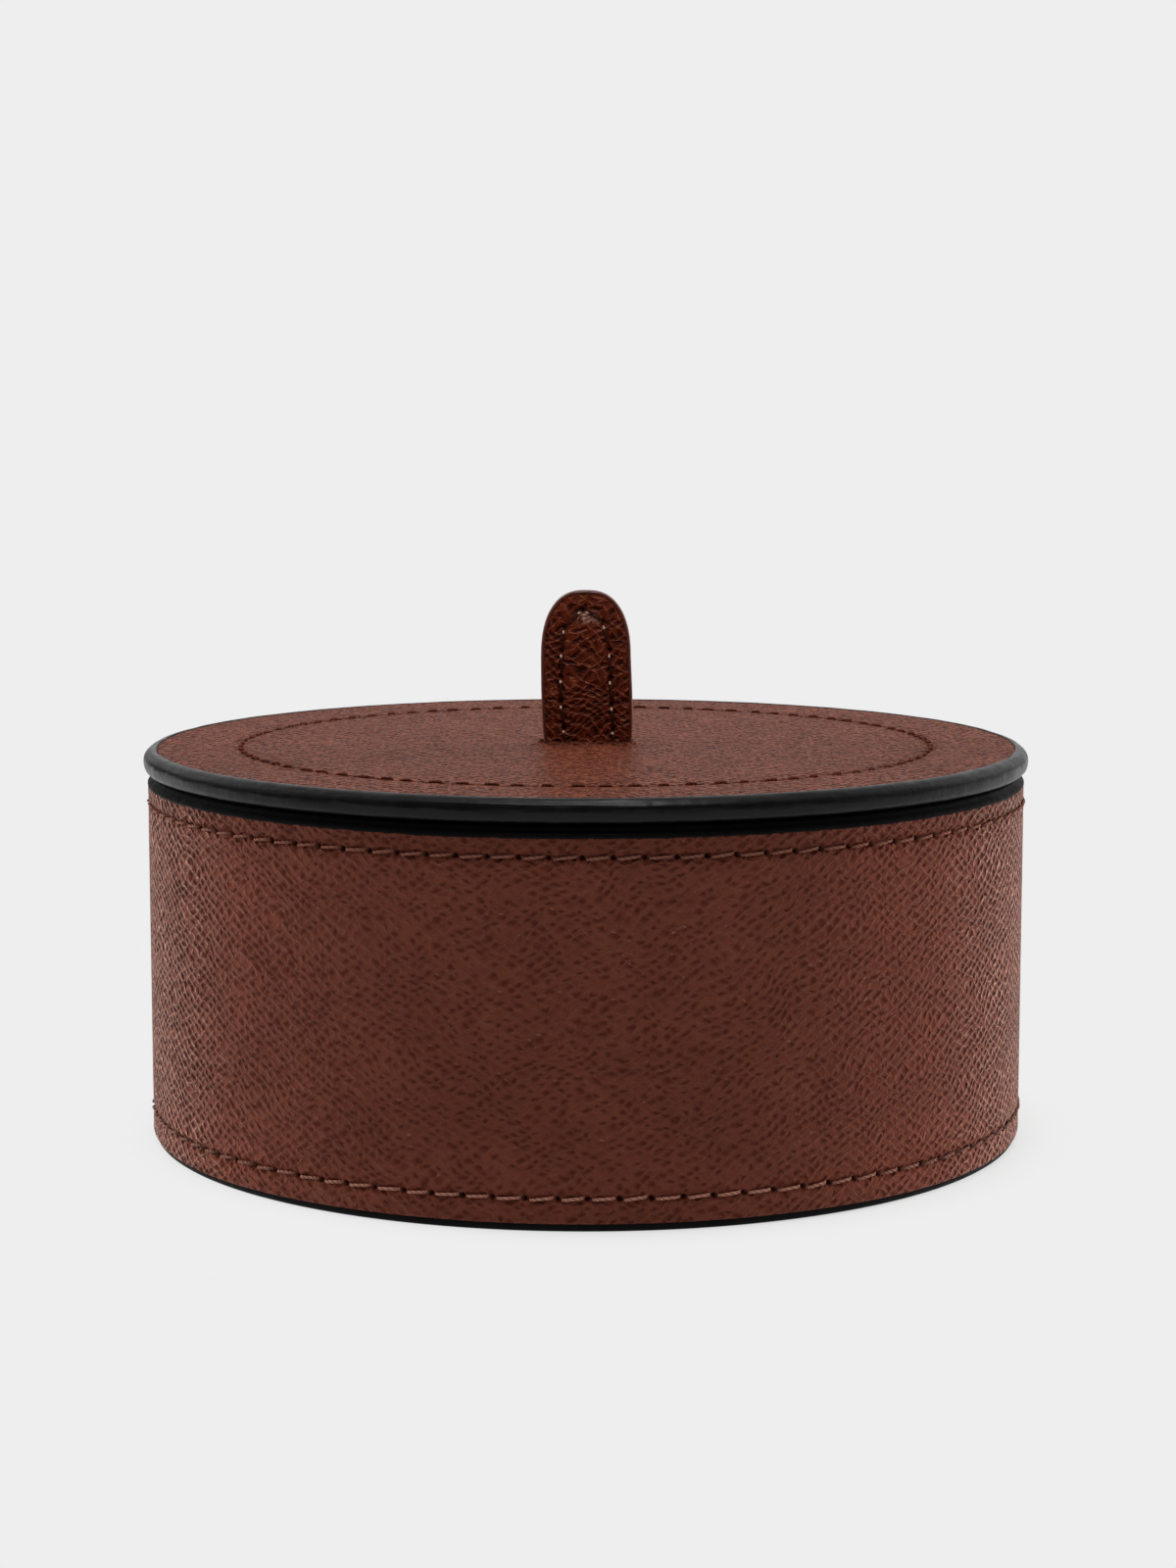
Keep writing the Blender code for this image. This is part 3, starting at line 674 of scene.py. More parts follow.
def thread_finish(name, ply_shade_colour, ply_highlight_colour, roughness, specular, worn=None, browner=0.0):
    """Twisted waxed thread: its plies run slantwise on the stitch's own UV map, their crests painted in the
    light colour and the grooves between them in the dark one, as painted highlight and shade. Worn is the
    colour of a painted highlight where the thread comes up, and browner how much darker it is made toward
    the sides of the wall."""
    finish, shader, place = new_finish(name, roughness, specular)
    run = parts(new_node(shader.id_data, "TexCoord").outputs["UV"])
    slope = plus(times(run[0], 2 * STITCH_LENGTH / TWIST), times(run[1], 2.0))
    ply_relief_and_painted_light = maths("SINE", times(slope, math.pi * 2))
    ply_relief_and_painted_light = times_plus(ply_relief_and_painted_light, 0.5, 0.5)
    fluff = noise(place, 9.0, 2.0)
    colour = mixed(times_plus(fluff, 0.4, times(ply_relief_and_painted_light, 0.6)), ply_shade_colour, ply_highlight_colour)
    if worn:
        spot = times(stepped(run[0], 0.17, 0.21), stepped(run[0], 0.32, 0.38, 1.0, 0.0))
        colour = mixed(spot, colour, worn)
    if browner:
        lean = maths("ABSOLUTE", place_group(flattened, {"Place": place})["Lean"])
        depth = stepped(lean, 0.30, 0.85, 1.0, 1.0 - browner)
        colour = scaled(colour, depth)
    surface(shader, colour, times_plus(fluff, 0.2, ply_relief_and_painted_light), 0.00009)
    return finish


# The upper row's thread: a darker copy of the wall's thread, as painted shade under the lid's edge.
thread_in_painted_shade = thread_finish(
    "brown_waxed_thread", (0.115, 0.034, 0.020, 1), (0.285, 0.112, 0.073, 1), 0.55, 0.2,
)
pale_thread = thread_finish(
    "pale_brown_waxed_thread", (0.18, 0.058, 0.036, 1), (0.64, 0.30, 0.215, 1), 0.55, 0.2, browner=0.6,
)
stitch = one_stitch()


def stitch_places(holes, length, seed, lay, slim=1.0):
    """A matrix for each stitch of a row, with the hand's unevenness; lay puts it on its surface, and
    slim is how thick the thread is against the modelled one."""
    hand = random.Random(seed)
    ring = np.append(holes, holes[0] + length)
    made = []
    for start, end in zip(ring, ring[1:]):
        lean = Matrix.Rotation(math.radians(hand.uniform(-2.5, 2.5)), 4, "Y")
        long = float((end - start) / STITCH_LENGTH)
        fit = Matrix.Diagonal((long, 1.0, hand.uniform(0.94, 1.06) * slim, 1.0))
        lift = Matrix.Translation((0, hand.uniform(-0.05, 0.05) * MM, hand.uniform(-0.05, 0.05) * MM))
        made.append(lay(float(start + end) / 2) @ lift @ lean @ fit)
    return made


for node, height, holes, seed, slim, finish in (
    ("wall_top_stitching", TOP_ROW[0], top_holes, 21, 0.82, thread_in_painted_shade),
    ("wall_bottom_stitching", BOTTOM_ROW[0], bottom_holes, 22, 0.9, pale_thread),
):
    def on_wall(middle, height=height):
        bedded = Matrix.Translation((0, -WALL_FACE + 0.05 * MM, height))
        return Matrix.Rotation(middle / WALL_FACE, 4, "Z") @ bedded

    row = sew(node + "_thread", stitch, stitch_places(holes, around, seed, on_wall, slim))
    dress(row, finish)
    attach(row, "base")
    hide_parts(node)

# Painted edges of the wall
# Black edge paint in several coats closes the wall's rim under the lid and its foot on the table. It
# laps a little onto the leather, unevenly, as it does when it is laid on by hand.

RIM_INNER = 60.45 * MM
RIM_OUTER = 64.75 * MM
RIM_TOP = 54.55 * MM
FOOT_INNER = 63.2 * MM
FOOT_OUTER = 64.95 * MM
PAINT_STEPS = 720

paint, shader, place = new_finish("black_edge_paint", 0.3, 0.18)
flat = place_group(flattened, {"Place": place})[0]
brush = noise(vector_maths("MULTIPLY", flat, (0.12, 1.0, 1.0)), 1.6, 3.0)
dabs = noise(place, 0.55, 3.0)
dust = stepped(noise(place, 7.0, 2.0), 0.62, 0.8, 0.0, 0.35)
black = mixed(dabs, (0.0014, 0.0014, 0.0015, 1), (0.0036, 0.0037, 0.0040, 1))
black = mixed(dust, black, (0.012, 0.012, 0.013, 1))
surface(shader, black, times_plus(brush, 0.6, times(dabs, 0.8)), 0.00012)
link(stepped(dabs, 0.3, 0.7, 0.28, 0.38), shader.inputs["Roughness"])

# The wall's own edges are rubbed down, so their paint is duller than the lid's.
dull_paint, shader, place = new_finish("dull_edge_paint", 0.6, 0.07)
dabs = noise(place, 0.7, 3.0)
black = mixed(dabs, (0.0012, 0.0012, 0.0012, 1), (0.0030, 0.0030, 0.0032, 1))
surface(shader, black, dabs, 0.00010)
link(stepped(dabs, 0.3, 0.7, 0.48, 0.62), shader.inputs["Roughness"])

rim = [
    (RIM_INNER, 53.3 * MM),
    *rounded(RIM_INNER, RIM_TOP, 1, -1, 0.5 * MM, 4),
    (62.8 * MM, RIM_TOP),
    *rounded(RIM_OUTER, RIM_TOP, -1, -1, 0.6 * MM, 5)[::-1],
    (65.05 * MM, 53.66 * MM),
    (65.32 * MM, 53.46 * MM),
    (65.43 * MM, 53.22 * MM),
    (65.43 * MM, 53.05 * MM),
    (65.36 * MM, 52.92 * MM),
    (65.0 * MM, 53.0 * MM),
    (62.5 * MM, 53.3 * MM),
]
foot = [
    (FOOT_INNER, 0.0),
    (FOOT_OUTER - 0.8 * MM, 0.0),
    (FOOT_OUTER - 0.38 * MM, 0.07 * MM),
    (FOOT_OUTER - 0.12 * MM, 0.24 * MM),
    (FOOT_OUTER, 0.42 * MM),
    (FOOT_OUTER + 0.03 * MM, 0.62 * MM),
    (65.10 * MM, WALL_FOOT - 0.05 * MM),
    (65.05 * MM, WALL_FOOT + 0.09 * MM),
    (64.6 * MM, WALL_FOOT + 0.04 * MM),
    (FOOT_INNER, WALL_FOOT),
]
for node, profile, lap_from, lap_to, seed, fuller in (
    ("wall_top_edge", rim, 0.0, 53.25 * MM, 31, 0.0),
    ("wall_bottom_edge", foot, WALL_FOOT - 0.07 * MM, 5 * MM, 32, 1.0),
):
    edge = drawn_and_spun(node + "_paint", profile, PAINT_STEPS)
    at = points_of(edge)
    radius, angle = round_axis(at)
    ragged = swell(angle, seed, (7, 13, 29, 61, 97, 151), 0.16 * MM) + fuller * thicker_front(angle)
    lap = (at[:, 2] > lap_from) & (at[:, 2] < lap_to) & (radius > 64.8 * MM)
    at[:, 2] += ragged * lap
    move_points(edge, at)
    dress(edge, dull_paint)
    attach(edge, "base")
    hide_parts(node)

# Underside
# A disc of the same hide under the floor, which the box stands on, inside the painted foot.

UNDERSIDE_RADIUS = 63.1 * MM
UNDERSIDE_TOP = 1.25 * MM
plain_grain = {"Cell width": 2.1, "Cell height": 1.5, "Pit width": 0.42, "Pit height": 0.28}
flat_hide = leather("flat_grained_leather", 0.64, 0.08, None, plain_grain, wall_colours, 0.00022)
disc = [
    (0.0, 0.0),
    (30 * MM, 0.0),
    *rounded(UNDERSIDE_RADIUS, 0.0, -1, 1, 0.35 * MM)[::-1],
    *rounded(UNDERSIDE_RADIUS, UNDERSIDE_TOP, -1, -1, 0.1 * MM, 1),
    (0.0, UNDERSIDE_TOP),
]
underside = drawn_and_spun("underside_leather", disc, LINING_STEPS, closed=False)
dress(underside, flat_hide)
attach(underside, "base")
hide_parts("underside_cover")

# Leather of the lid
# A disc of the same hide over the lid board, sewn with one ring of stitches and slit in the middle
# for the tab. The tab pushes the slit's lips up, and the tight thread sinks between its holes.

LID_TOP = 58.15 * MM
LID_UNDER = 57.05 * MM
LID_RADIUS = 64.35 * MM
RING_RADIUS = 51.6 * MM
RING_STITCHES = 82
SLIT_HALF_LENGTH = 6.95 * MM
SLIT_HALF_WIDTH = 1.62 * MM
LID_STEPS = 984
SLIT_ROUND = 3.0 * MM  # radius of the spun hole that is then drawn out into the slit
SLIT_REACH = 24 * MM

ring_radii = [RING_RADIUS + step * 0.2 * MM for step in range(-6, 7)]
skin = [
    (SLIT_ROUND, LID_UNDER),
    (SLIT_ROUND, LID_TOP - 0.35 * MM),
    *[(SLIT_ROUND + gap * MM, LID_TOP) for gap in (0.12, 0.3, 0.55, 0.85, 1.2, 1.6, 2.1, 2.7, 3.5, 4.5)],
    *[(radius * MM, LID_TOP) for radius in (9, 11, 13.5, 16.5, 20, 24, 29, 34, 39, 44, 48)],
    *[(radius, LID_TOP) for radius in ring_radii],
    *[(radius * MM, LID_TOP) for radius in (54, 57, 60, 62, 63.2)],
    (63.9 * MM, LID_TOP - 0.03 * MM),
    (LID_RADIUS, LID_TOP - 0.18 * MM),
    (LID_RADIUS, LID_UNDER),
    (30 * MM, LID_UNDER),
]
lid_skin = drawn_and_spun("lid_leather_disc", skin, LID_STEPS)
at = points_of(lid_skin)
radius, angle = round_axis(at)
upper = at[:, 2] > LID_UNDER + 0.4 * MM
ring_starts = awl_holes(RING_STITCHES, 1.5, RING_RADIUS, 0.3 * MM, 41)
hand = random.Random(43)
ring_ends = [start + hand.uniform(2.1, 3.2) * MM for start in ring_starts]
ring_holes = np.stack([ring_starts, ring_ends], 1).ravel()
ring_length = 2 * math.pi * RING_RADIUS
sunk, awl_ring = pressed(
    angle * RING_RADIUS, radius - RING_RADIUS, ring_holes, ring_length,
    bed=0.17, hole=0.34, lean=0.1, wide=0.30, running=True,
)
at[:, 2] -= (sunk + 0.05 * MM * np.exp(-(((radius - RING_RADIUS) / (2.2 * MM)) ** 2))) * upper
across = np.abs(at[:, 0]) / radius
deep = np.abs(at[:, 1]) / radius
to_slit = np.minimum(SLIT_HALF_LENGTH / np.maximum(across, 1e-6), SLIT_HALF_WIDTH / np.maximum(deep, 1e-6))
share = np.clip((radius - SLIT_ROUND) / (SLIT_REACH - SLIT_ROUND), 0, 1)
drawn_radius = to_slit + (radius - SLIT_ROUND) + (SLIT_ROUND - to_slit) * share**0.6
drawn_radius = np.where(radius < SLIT_REACH, drawn_radius, radius)
at[:, :2] *= (drawn_radius / radius)[:, None]
x, y = at[:, 0], at[:, 1]
past_end = np.maximum(np.abs(x) - SLIT_HALF_LENGTH, 0)
past_side = np.maximum(np.abs(y) - SLIT_HALF_WIDTH, 0)
beyond = np.hypot(past_end, past_side) / MM
lip = 0.40 * np.exp(-((beyond / 0.9) ** 1.5)) - 0.10 * np.exp(-((beyond - 2.6) / 1.3) ** 2)
rolled = -0.22 * np.exp(-((beyond / 0.18) ** 2))
at[:, 2] += (lip + rolled) * MM * upper * (radius < SLIT_REACH)
bow = np.sin(np.clip(radius / LID_RADIUS, 0, 1) * math.pi)
at[:, 2] += swell(np.arctan2(x, -y), 44, (2, 3, 4), 0.05 * MM) * upper * bow
move_points(lid_skin, at)
mark(lid_skin, "awl", np.clip(awl_ring * 1.2 - 0.15, 0, 1) * upper)
# The lid's hide is the wall's, but its colours are paler: painted light for the light on the lid's top and
# its sheen.
lid_colours_painted_paler = (
    (0.248, 0.068, 0.0362, 1), (0.095, 0.0175, 0.008, 1), (0.375, 0.13, 0.084, 1), (0.50, 0.24, 0.175, 1),
)
lid_grain = {"Cell width": 1.8, "Cell height": 2.1, "Pit width": 0.40, "Pit height": 0.42}
lid_hide = leather(
    "lid_grained_leather", 0.42, 0.027, None, lid_grain, lid_colours_painted_paler, 0.00130, glaze=0.05, lumps=6.0,
)
dress(lid_skin, lid_hide)
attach(lid_skin, "lid")
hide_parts("lid_leather")


def on_lid(middle):
    """Lays a stitch flat on the lid's ring, its outer side up."""
    turn = Matrix.Rotation(middle / RING_RADIUS, 4, "Z")
    bedded = Matrix.Translation((0, -RING_RADIUS, LID_TOP - 0.02 * MM))
    return turn @ bedded @ Matrix.Rotation(math.radians(-90), 4, "X")


# The ring's thread is a darker copy of the wall's, as painted shade of the sunk stitches.
ring_thread_in_painted_shade = thread_finish("dark_waxed_thread", (0.06, 0.01, 0.005, 1), (0.15, 0.036, 0.021, 1), 0.6, 0.1)
ring = sew("lid_stitching_thread", stitch, stitch_places(ring_holes, ring_length, 45, on_lid)[::2])
dress(ring, ring_thread_in_painted_shade)
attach(ring, "lid")
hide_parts("lid_stitching")

# Leather under the lid
# A thin disc of hide covers the board's underside; its ring between the plug and the painted edge
# rests on the wall's rim.

LID_LINING_RADIUS = 64.5 * MM
under_disc = [
    (0.0, 54.85 * MM),
    (40 * MM, 54.85 * MM),
    *rounded(LID_LINING_RADIUS, 54.85 * MM, -1, 1, 0.15 * MM, 2)[::-1],
    (LID_LINING_RADIUS, 55.45 * MM),
    (0.0, 55.45 * MM),
]
lid_lining = drawn_and_spun("lid_underside_leather", under_disc, LINING_STEPS, closed=False)
dress(lid_lining, flat_hide)
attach(lid_lining, "lid")
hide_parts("lid_lining")

# Painted edge of the lid
# The lid's two leathers and board end in a thick black painted bullnose, sanded and coated many
# times. Its top is a narrow chamfer that laps onto the skin unevenly and has a lip in places.

NOSE = [  # radius and height from the bottom's inner corner round the nose to the top's inner corner
    (64.2, 54.85), (64.9, 54.85), (65.25, 54.92), (65.55, 55.10), (65.80, 55.40), (65.94, 55.80),
    (65.99, 56.20), (65.99, 56.55), (65.95, 56.88), (65.87, 57.12), (65.78, 57.28), (65.70, 57.38),
    (65.64, 57.45), (65.50, 57.58), (65.25, 57.80), (65.00, 57.98), (64.75, 58.10), (64.50, 58.17),
    (64.25, 58.21), (64.10, 58.19), (64.05, 58.05), (64.2, 57.2),
]
nose = drawn_and_spun("lid_edge_paint", [(r * MM, z * MM) for r, z in NOSE], PAINT_STEPS)
at = points_of(nose)
radius, angle = round_axis(at)
on_top = np.clip((at[:, 2] - 57.9 * MM) / (0.25 * MM), 0, 1)
lap = swell(angle, 51, (3, 5, 9, 17, 31, 53), 0.35 * MM) * on_top
bumps = swell(angle + at[:, 2] * 90, 52, (6, 11, 19, 33), 0.06 * MM) * (radius > 65.2 * MM)
lipped = np.clip(1 - np.abs((np.degrees(angle) + 9.0) / 13.0) ** 6, 0, 1)
crease = np.exp(-(((at[:, 2] - 57.45 * MM) / (0.09 * MM)) ** 2)) * (radius > 65.4 * MM) * lipped
moved = (radius + lap + bumps + 0.07 * MM * crease) / radius
moved = np.where(radius > 64.0 * MM, moved, 1.0)
at[:, :2] *= moved[:, None]
move_points(nose, at)
dress(nose, paint)
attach(nose, "lid")
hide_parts("lid_edge")

# Tails of the tab
# Below the slit the tab's two leathers part and are glued out flat under the lid board, into the plug.

ROOT_MIDDLE = 54.15 * MM
bpy.ops.object.select_all(action="DESELECT")
bpy.ops.mesh.primitive_cube_add(size=1, location=(0, 0, ROOT_MIDDLE), scale=(13 * MM, 2.6 * MM, 0.7 * MM))
root = named("tab_tails")
bpy.ops.object.transform_apply(location=True, rotation=False, scale=True)
bpy.ops.object.mode_set(mode="EDIT")
for way, travel in (((0, -1, 0), 5.1 * MM), ((0, 1, 0), 5.1 * MM), ((0, 0, 1), 2.6 * MM)):
    shell = bmesh.from_edit_mesh(root.data)
    bpy.ops.mesh.select_all(action="DESELECT")
    middle = Vector((0, way[1] * 1.3 * MM, ROOT_MIDDLE + way[2] * 0.35 * MM))
    for face in shell.faces:
        if face.normal.dot(way) > 0.9 and (face.calc_center_median() - middle).length < 0.1 * MM:
            face.select_set(True)
    bpy.ops.mesh.extrude_region_move(TRANSFORM_OT_translate={"value": Vector(way) * travel})
bpy.ops.mesh.select_all(action="SELECT")
bpy.ops.mesh.bevel(offset=0.12 * MM, segments=2)
finish_shape(40)

# Leathers of the pull tab
# Two strips of a darker, glossier hide with a bigger grain, one to each side, folded up through the
# slit and sewn together along their edge. They are full between the stitches and bend at the slit.

TAB_TOP = 81.1
TAB_ARCH_START = 72.0
TAB_FOOT = 57.35
TAB_FACE = 1.5
RIM_WIDTH = 0.42
TAB_COLUMNS = 72
TAB_ROWS = 118
TAB_HOLES = [  # x and height in millimetres, from the left foot over the apex to the right foot
    (-3.2, 57.9), (-3.3, 60.4), (-3.75, 64.4), (-3.7, 68.2), (-3.6, 72.05), (-3.15, 75.6),
    (-0.37, 78.2), (2.55, 76.45), (3.55, 72.15), (3.65, 68.05), (3.9, 64.1), (4.1, 60.15), (4.1, 57.8),
]


def tab_half_width(height):
    """Half the tab's width at a height, in millimetres."""
    rise = np.clip((height - TAB_ARCH_START) / (TAB_TOP - TAB_ARCH_START), 0, 1)
    waist = np.interp(height, [58.4, 60.5, 62.3, 66.1, 69.8, 73.6], [6.62, 6.75, 6.82, 6.82, 6.76, 6.68])
    return waist * (1 - rise**2.05) ** 0.385


def tab_middle(height):
    """How far the tab's middle is off centre at a height, in millimetres."""
    return 0.30 * np.clip((71 - height) / 12, 0, 1)


def tab_rows(count, inset):
    """Heights that are even round the tab's arch, from its foot to its top less an inset."""
    straight = np.linspace(TAB_FOOT, TAB_ARCH_START, count * 3 // 5, endpoint=False)
    arch = np.sin(np.linspace(0, 1, count - len(straight)) * math.pi / 2)
    return np.concatenate([straight, TAB_ARCH_START + (TAB_TOP - inset - TAB_ARCH_START) * arch])


outline_heights = tab_rows(240, 0.0)
outline = np.concatenate([
    np.stack([tab_middle(outline_heights) + side * tab_half_width(outline_heights), outline_heights], 1)
    for side in (-1, 1)
])


def from_rim(x, z):
    """Distance from the tab's outline, in millimetres, for arrays of places on its face."""
    places = np.stack([x, z], 1)
    return np.sqrt(((places[:, None] - outline[None]) ** 2).sum(2).min(1))


def tab_seam(x, z):
    """How far the tab's seam presses its face in, in millimetres, and how much of it is hole."""
    trough = np.zeros_like(x)
    awl = np.zeros_like(x)
    for (x0, z0), (x1, z1) in zip(TAB_HOLES, TAB_HOLES[1:]):
        length = math.hypot(x1 - x0, z1 - z0)
        share = np.clip(((x - x0) * (x1 - x0) + (z - z0) * (z1 - z0)) / length**2, 0, 1)
        off = np.hypot(x - x0 - share * (x1 - x0), z - z0 - share * (z1 - z0))
        trough = np.maximum(trough, 0.30 * np.exp(-((off / 0.30) ** 2)))
    for x0, z0 in TAB_HOLES:
        awl = np.maximum(awl, np.exp(-((((x - x0) / 0.36) ** 2 + ((z - z0 - 0.08) / 0.38) ** 2) ** 1.3)))
    return np.maximum(trough, 0.6 * awl), awl


def tab_face(name, side):
    """One of the tab's leathers, shaped from a flat grid; side is -1 for the front and 1 for the back."""
    piece = new_grid(name, TAB_COLUMNS, TAB_ROWS)
    at = points_of(piece)
    rows = tab_rows(TAB_ROWS + 1, RIM_WIDTH * 0.9)
    z = np.interp(at[:, 1] + 0.5, np.linspace(0, 1, TAB_ROWS + 1), rows)
    half = np.maximum(tab_half_width(z) - RIM_WIDTH * 0.8, 0.25)
    x = tab_middle(z) + at[:, 0] * 2 * half
    rim = from_rim(x, z)
    sunk = tab_seam(-side * x, z)[0]
    full = 0.24 * np.clip(np.minimum((rim - 3.0) / 1.6, (z - 61) / 3), 0, 1)
    welt = 0.10 * np.exp(-(((rim - 1.7) / 0.8) ** 2))
    roll = 0.34 * np.exp(-((rim / 0.55) ** 2))
    ruck = 0.05 * np.sin(x * 2.3 + z * 1.1) * np.sin(z * 1.9 - x * 0.8) * np.exp(-(((z - 59.5) / 2.2) ** 2))
    face = TAB_FACE - roll + (full + welt + ruck) * np.clip((z - 58.6) / 1.2, 0, 1) - sunk
    at = np.stack([x * MM, side * face * MM, z * MM], 1)
    move_points(piece, at)
    edit_all()
    bpy.ops.mesh.extrude_region_move()
    bpy.ops.object.mode_set(mode="OBJECT")
    at = points_of(piece)
    chosen = np.empty(len(piece.data.vertices), bool)
    piece.data.vertices.foreach_get("select", chosen)
    at[chosen, 1] = side * 0.45 * MM
    move_points(piece, at)
    bpy.ops.object.mode_set(mode="EDIT")
    finish_shape(50)
    awl = tab_seam(-side * at[:, 0] / MM, at[:, 2] / MM)[1]
    mark(piece, "awl", np.clip(awl * 1.2 - 0.1, 0, 1))
    # Marks the patch below the apex stitch that gets a painted highlight, on the front only.
    apex_highlight_share = np.exp(-((((at[:, 0] / MM - 0.2) / 1.7) ** 2 + ((at[:, 2] / MM - 77.05) / 0.85) ** 2) ** 1.5))
    mark(piece, "painted_apex_highlight", apex_highlight_share * (side < 0))
    return piece


# Across the tab the grain lies in X and up it in Z, so these two are the flat hide's directions. Its
# two sides are cut from different spots of the hide. It leans nowhere and has no painted light or shade.
upright, given, out = new_group("upright_hide", {}, FLAT_HIDE)
axes = parts(given["Place"])
across = plus(axes[0], times(maths("SIGN", axes[1]), 31.0))
flat = put("CombineXYZ", {0: across, 1: axes[2]}).outputs[0]
give(out, flat, times(axes[0], 0.0), times_plus(axes[0], 0.0, 1.0))

tab_grain = {
    "Cell width": 2.1, "Cell height": 1.5, "Unevenness": 1.8,
    "Pit width": 0.6, "Pit height": 0.38, "Ridge": 0.17,
}
# The tab's ridges are far paler than its face: partly the grain, partly painted highlights along its
# creases.
tab_colours = (
    (0.165, 0.025, 0.008, 1), (0.018, 0.003, 0.0014, 1), (0.60, 0.17, 0.092, 1), (0.30, 0.10, 0.06, 1),
)
tab_hide = leather("tab_glossy_leather", 0.34, 0.20, upright, tab_grain, tab_colours, 0.00055, glaze=0.1)
dress(root, tab_hide)
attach(root, "lid")
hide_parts("tab_root")

for node, side in (("tab_front_leather", -1), ("tab_back_leather", 1)):
    face = tab_face(node + "_strip", side)
    dress(face, tab_hide)
    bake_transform(face)
    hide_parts(node)

# Painted rim of the tab
# The tab's cut edge is sanded round and painted dark brown, a thin glossy line all round it.

RIM_SECTION = [  # out from the outline and through the tab, in millimetres, once round the section
    (-0.62, -1.25), (-0.50, -1.42), (-0.34, -1.50), (-0.18, -1.45), (-0.07, -1.25), (-0.01, -0.85),
    (0.02, 0.0), (-0.01, 0.85), (-0.07, 1.25), (-0.18, 1.45), (-0.34, 1.50), (-0.50, 1.42),
    (-0.62, 1.25), (-0.62, 0.0),
]
RIM_ROWS = 100  # up each side of the tab
tab_paint, shader, place = new_finish("brown_edge_paint", 0.3, 0.35)
dabs = noise(place, 0.9, 3.0)
brown = mixed(dabs, (0.08, 0.0175, 0.01, 1), (0.135, 0.035, 0.021, 1))
surface(shader, brown, dabs, 0.00008)
worn = stepped(parts(place)[2], 74.0, 80.0, 0.5, 0.16)  # fingers polish its top
link(times(worn, stepped(dabs, 0.3, 0.7, 0.8, 1.2)), shader.inputs["Roughness"])

run = tab_rows(RIM_ROWS, 0.0)
run = np.concatenate([run, run[-2::-1]])
rim = new_grid("tab_edge_paint", len(RIM_SECTION), len(run) - 1)
at = points_of(rim)
sides = np.repeat([-1, 1], [RIM_ROWS, RIM_ROWS - 1])
path = np.stack([tab_middle(run) + sides * tab_half_width(run), run], 1)
tangent = np.gradient(path, axis=0)
tangent /= np.linalg.norm(tangent, axis=1)[:, None]
outward = np.stack([-tangent[:, 1], tangent[:, 0]], 1)
station = np.rint((at[:, 1] + 0.5) * (len(run) - 1)).astype(int)
section = np.rint((at[:, 0] + 0.5) * len(RIM_SECTION)).astype(int) % len(RIM_SECTION)
shape = np.array(RIM_SECTION)[section]
spot = path[station] + outward[station] * shape[:, :1]
close_tube(rim, np.stack([spot[:, 0], shape[:, 1], spot[:, 1]], 1) * MM, 50)
dress(rim, tab_paint)
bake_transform(rim)
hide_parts("tab_edge")

# Thread of the tab
# Dark waxed thread from hole to hole, standing proud where it comes up and sunk along its run.

# The pale spot where each stitch comes up is a painted highlight.
glossy_thread = thread_finish(
    "glossy_waxed_thread", (0.038, 0.008, 0.004, 1), (0.095, 0.024, 0.013, 1), 0.35, 0.2,
    worn=(0.95, 0.70, 0.58, 1),
)
for node, side, facing in (
    ("tab_front_stitching", -1, Matrix()),
    ("tab_back_stitching", 1, Matrix.Rotation(math.pi, 4, "Z")),
):
    places = []
    for (x0, z0), (x1, z1) in zip(TAB_HOLES, TAB_HOLES[1:]):
        if z1 > z0:  # each stitch comes up at its upper hole and dives at its lower one
            x0, z0, x1, z1 = x1, z1, x0, z0
        length = math.hypot(x1 - x0, z1 - z0)
        middle = Vector(((x0 + x1) / 2 * -side, side * (TAB_FACE - 0.08), (z0 + z1) / 2)) * MM
        down = math.atan2(z1 - z0, (x1 - x0) * -side)
        turn = Matrix.Rotation(-down, 4, "Y") @ Matrix.Diagonal((length * MM / STITCH_LENGTH, 0.9, 0.7, 1))
        places.append(Matrix.Translation(middle) @ facing @ turn)
    row = sew(node + "_thread", stitch, places)
    dress(row, glossy_thread)
    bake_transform(row)
    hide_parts(node)
bpy.data.objects.remove(stitch)

# Setting
# A pale seamless table and background, a soft light above and two at the sides, which reflections
# don't show, a darker room in front and low at the sides, and the camera a little above the lid.

BACKGROUND = 0.855  # a pale grey as light
TABLE_RADIUS = 12.0
bpy.ops.object.select_all(action="DESELECT")
bpy.ops.mesh.primitive_circle_add(vertices=96, radius=TABLE_RADIUS, fill_type="NGON", location=(0, 0, 0))
table = bpy.context.object
table.name = "table"
table_finish, shader, place = new_finish("pale_table", 0.6, 0.2)
shader.inputs["Base Color"].default_value = (0.86, 0.86, 0.86, 1)
axes = parts(place)
squares = plus(maths("POWER", axes[0], 2.0), maths("POWER", axes[1], 2.0))
spread = stepped(axes[0], -66.0, 66.0, 0.0, 4.0)
far = stepped(minus(maths("SQRT", squares), spread), 41.0, 72.0)
tree = shader.id_data
rays = new_node(tree, "LightPath").outputs
glow = new_node(tree, "Emission", {"Color": (1, 1, 1, 1), "Strength": BACKGROUND}).outputs[0]
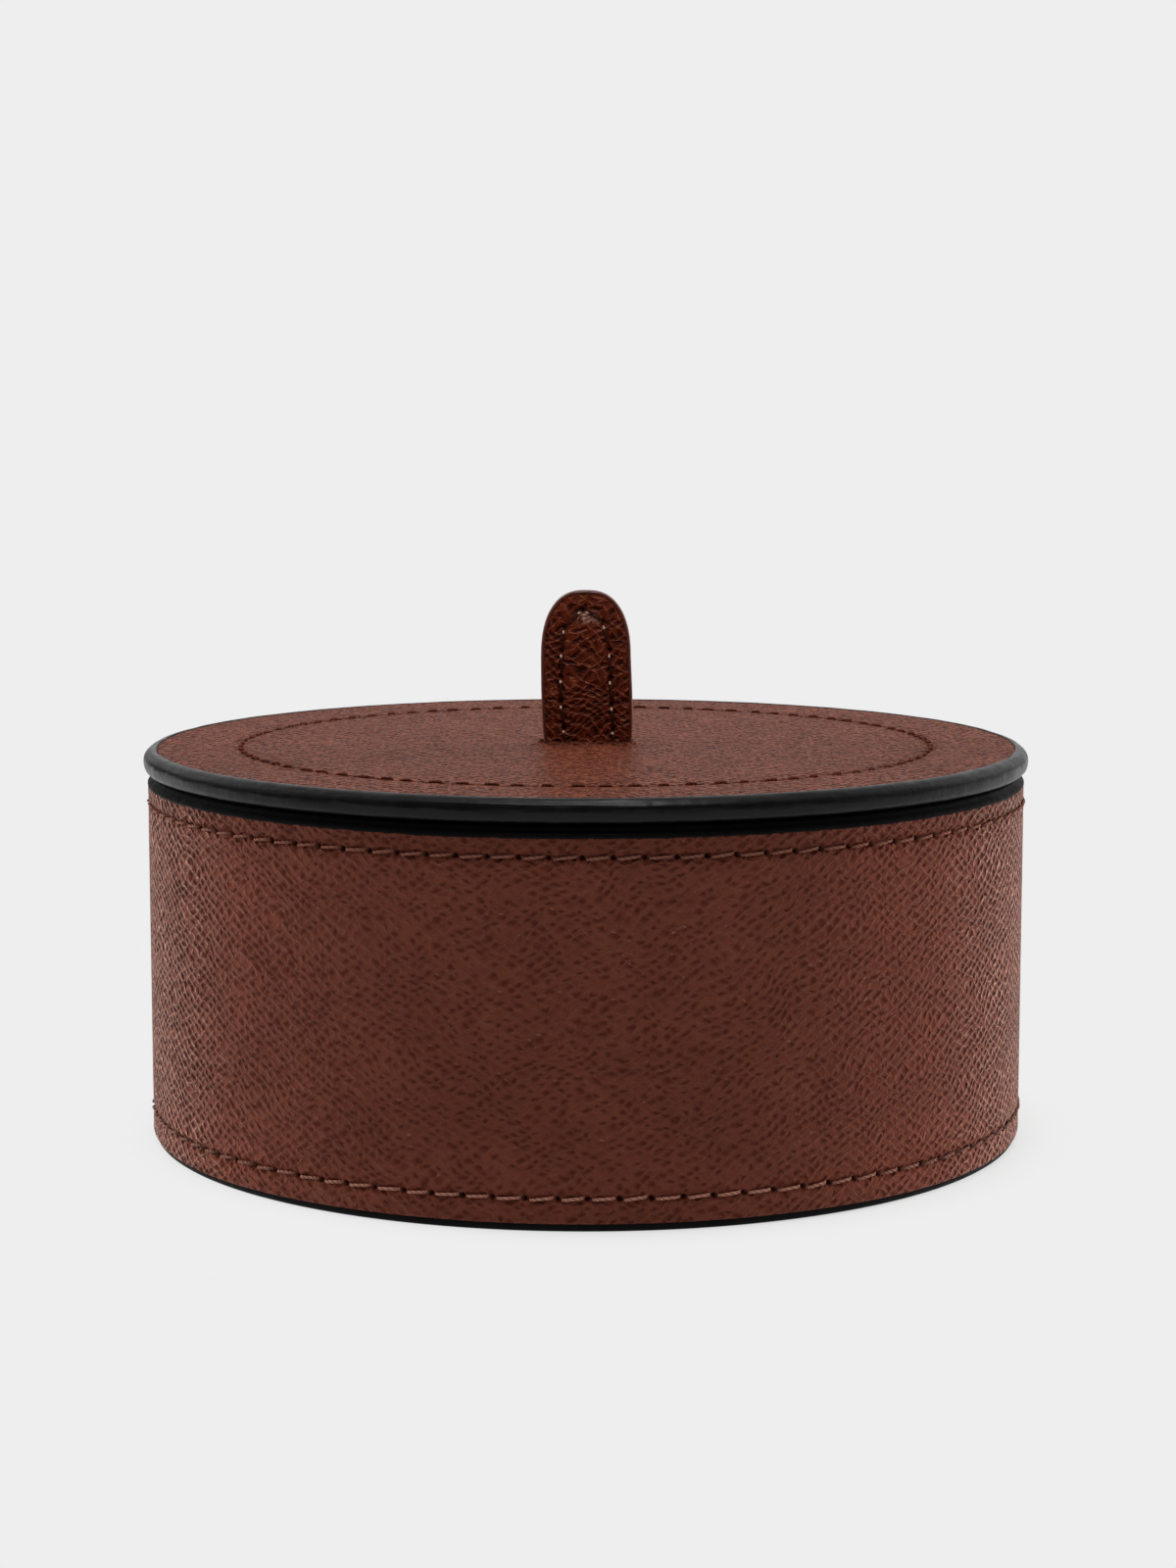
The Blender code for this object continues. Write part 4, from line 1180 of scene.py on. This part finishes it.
seen = times(far, maths("MAXIMUM", rays["Is Camera Ray"], rays["Is Glossy Ray"]))
shown = put("MixShader", {0: seen, 1: shader.outputs[0], 2: glow}).outputs[0]
link(shown, tree.nodes["Material Output"].inputs["Surface"])
dress(table, table_finish)

world = bpy.data.worlds.new("studio")
bpy.context.scene.world = world
world.use_nodes = True
tree = world.node_tree
way = parts(new_node(tree, "TexCoord").outputs["Generated"])
room = stepped(way[1], -0.80, 0.90, 0.10, 0.80)
straight = new_node(tree, "LightPath").outputs
aside = stepped(way[0], -0.55, -0.15, 0.95, 0.0)
aside = maths("MAXIMUM", aside, stepped(way[0], 0.15, 0.55, 0.0, 0.45))
low_down = stepped(way[2], 0.12, 0.45, 1.0, 0.0)
band = times(times(aside, low_down), straight["Is Glossy Ray"])
room = times(room, minus(1.0, band))
seen = maths("MAXIMUM", straight["Is Camera Ray"], straight["Is Transmission Ray"])
unseen = times(minus(1.0, seen), room)
level = plus(times(seen, BACKGROUND), unseen)
link(level, tree.nodes["Background"].inputs["Strength"])
tree.nodes["Background"].inputs["Color"].default_value = (1, 1, 1, 1)

for name, spot, size, power in (
    ("top_light", (0.0, -0.22, 0.95), (0.4, 0.4), 3.6),
    ("left_light", (-0.92, 0.43, 0.20), (0.6, 0.2), 12.2),
    ("right_light", (0.92, 0.43, 0.20), (0.6, 0.2), 14.2),
):
    lamp = bpy.data.lights.new(name, "AREA")
    lamp.shape = "RECTANGLE"
    lamp.size, lamp.size_y = size
    lamp.energy = power
    held = into_scene(name, lamp)
    held.location = spot
    held.visible_glossy = name == "top_light"
    held.rotation_euler = (Vector((0, 0, 0.03)) - Vector(spot)).to_track_quat("-Z", "Y").to_euler()

lens = bpy.data.cameras.new("camera")
lens.sensor_width = 36
lens.lens = 74.28
lens.clip_start = 0.01
lens.clip_end = 50
camera = into_scene("camera", lens)
camera.location = (0.00032, -0.48375, 0.1137)
camera.rotation_euler = (math.radians(90 - 7.29), 0, 0)
bpy.context.scene.camera = camera
bpy.context.scene.view_settings.view_transform = "Standard"
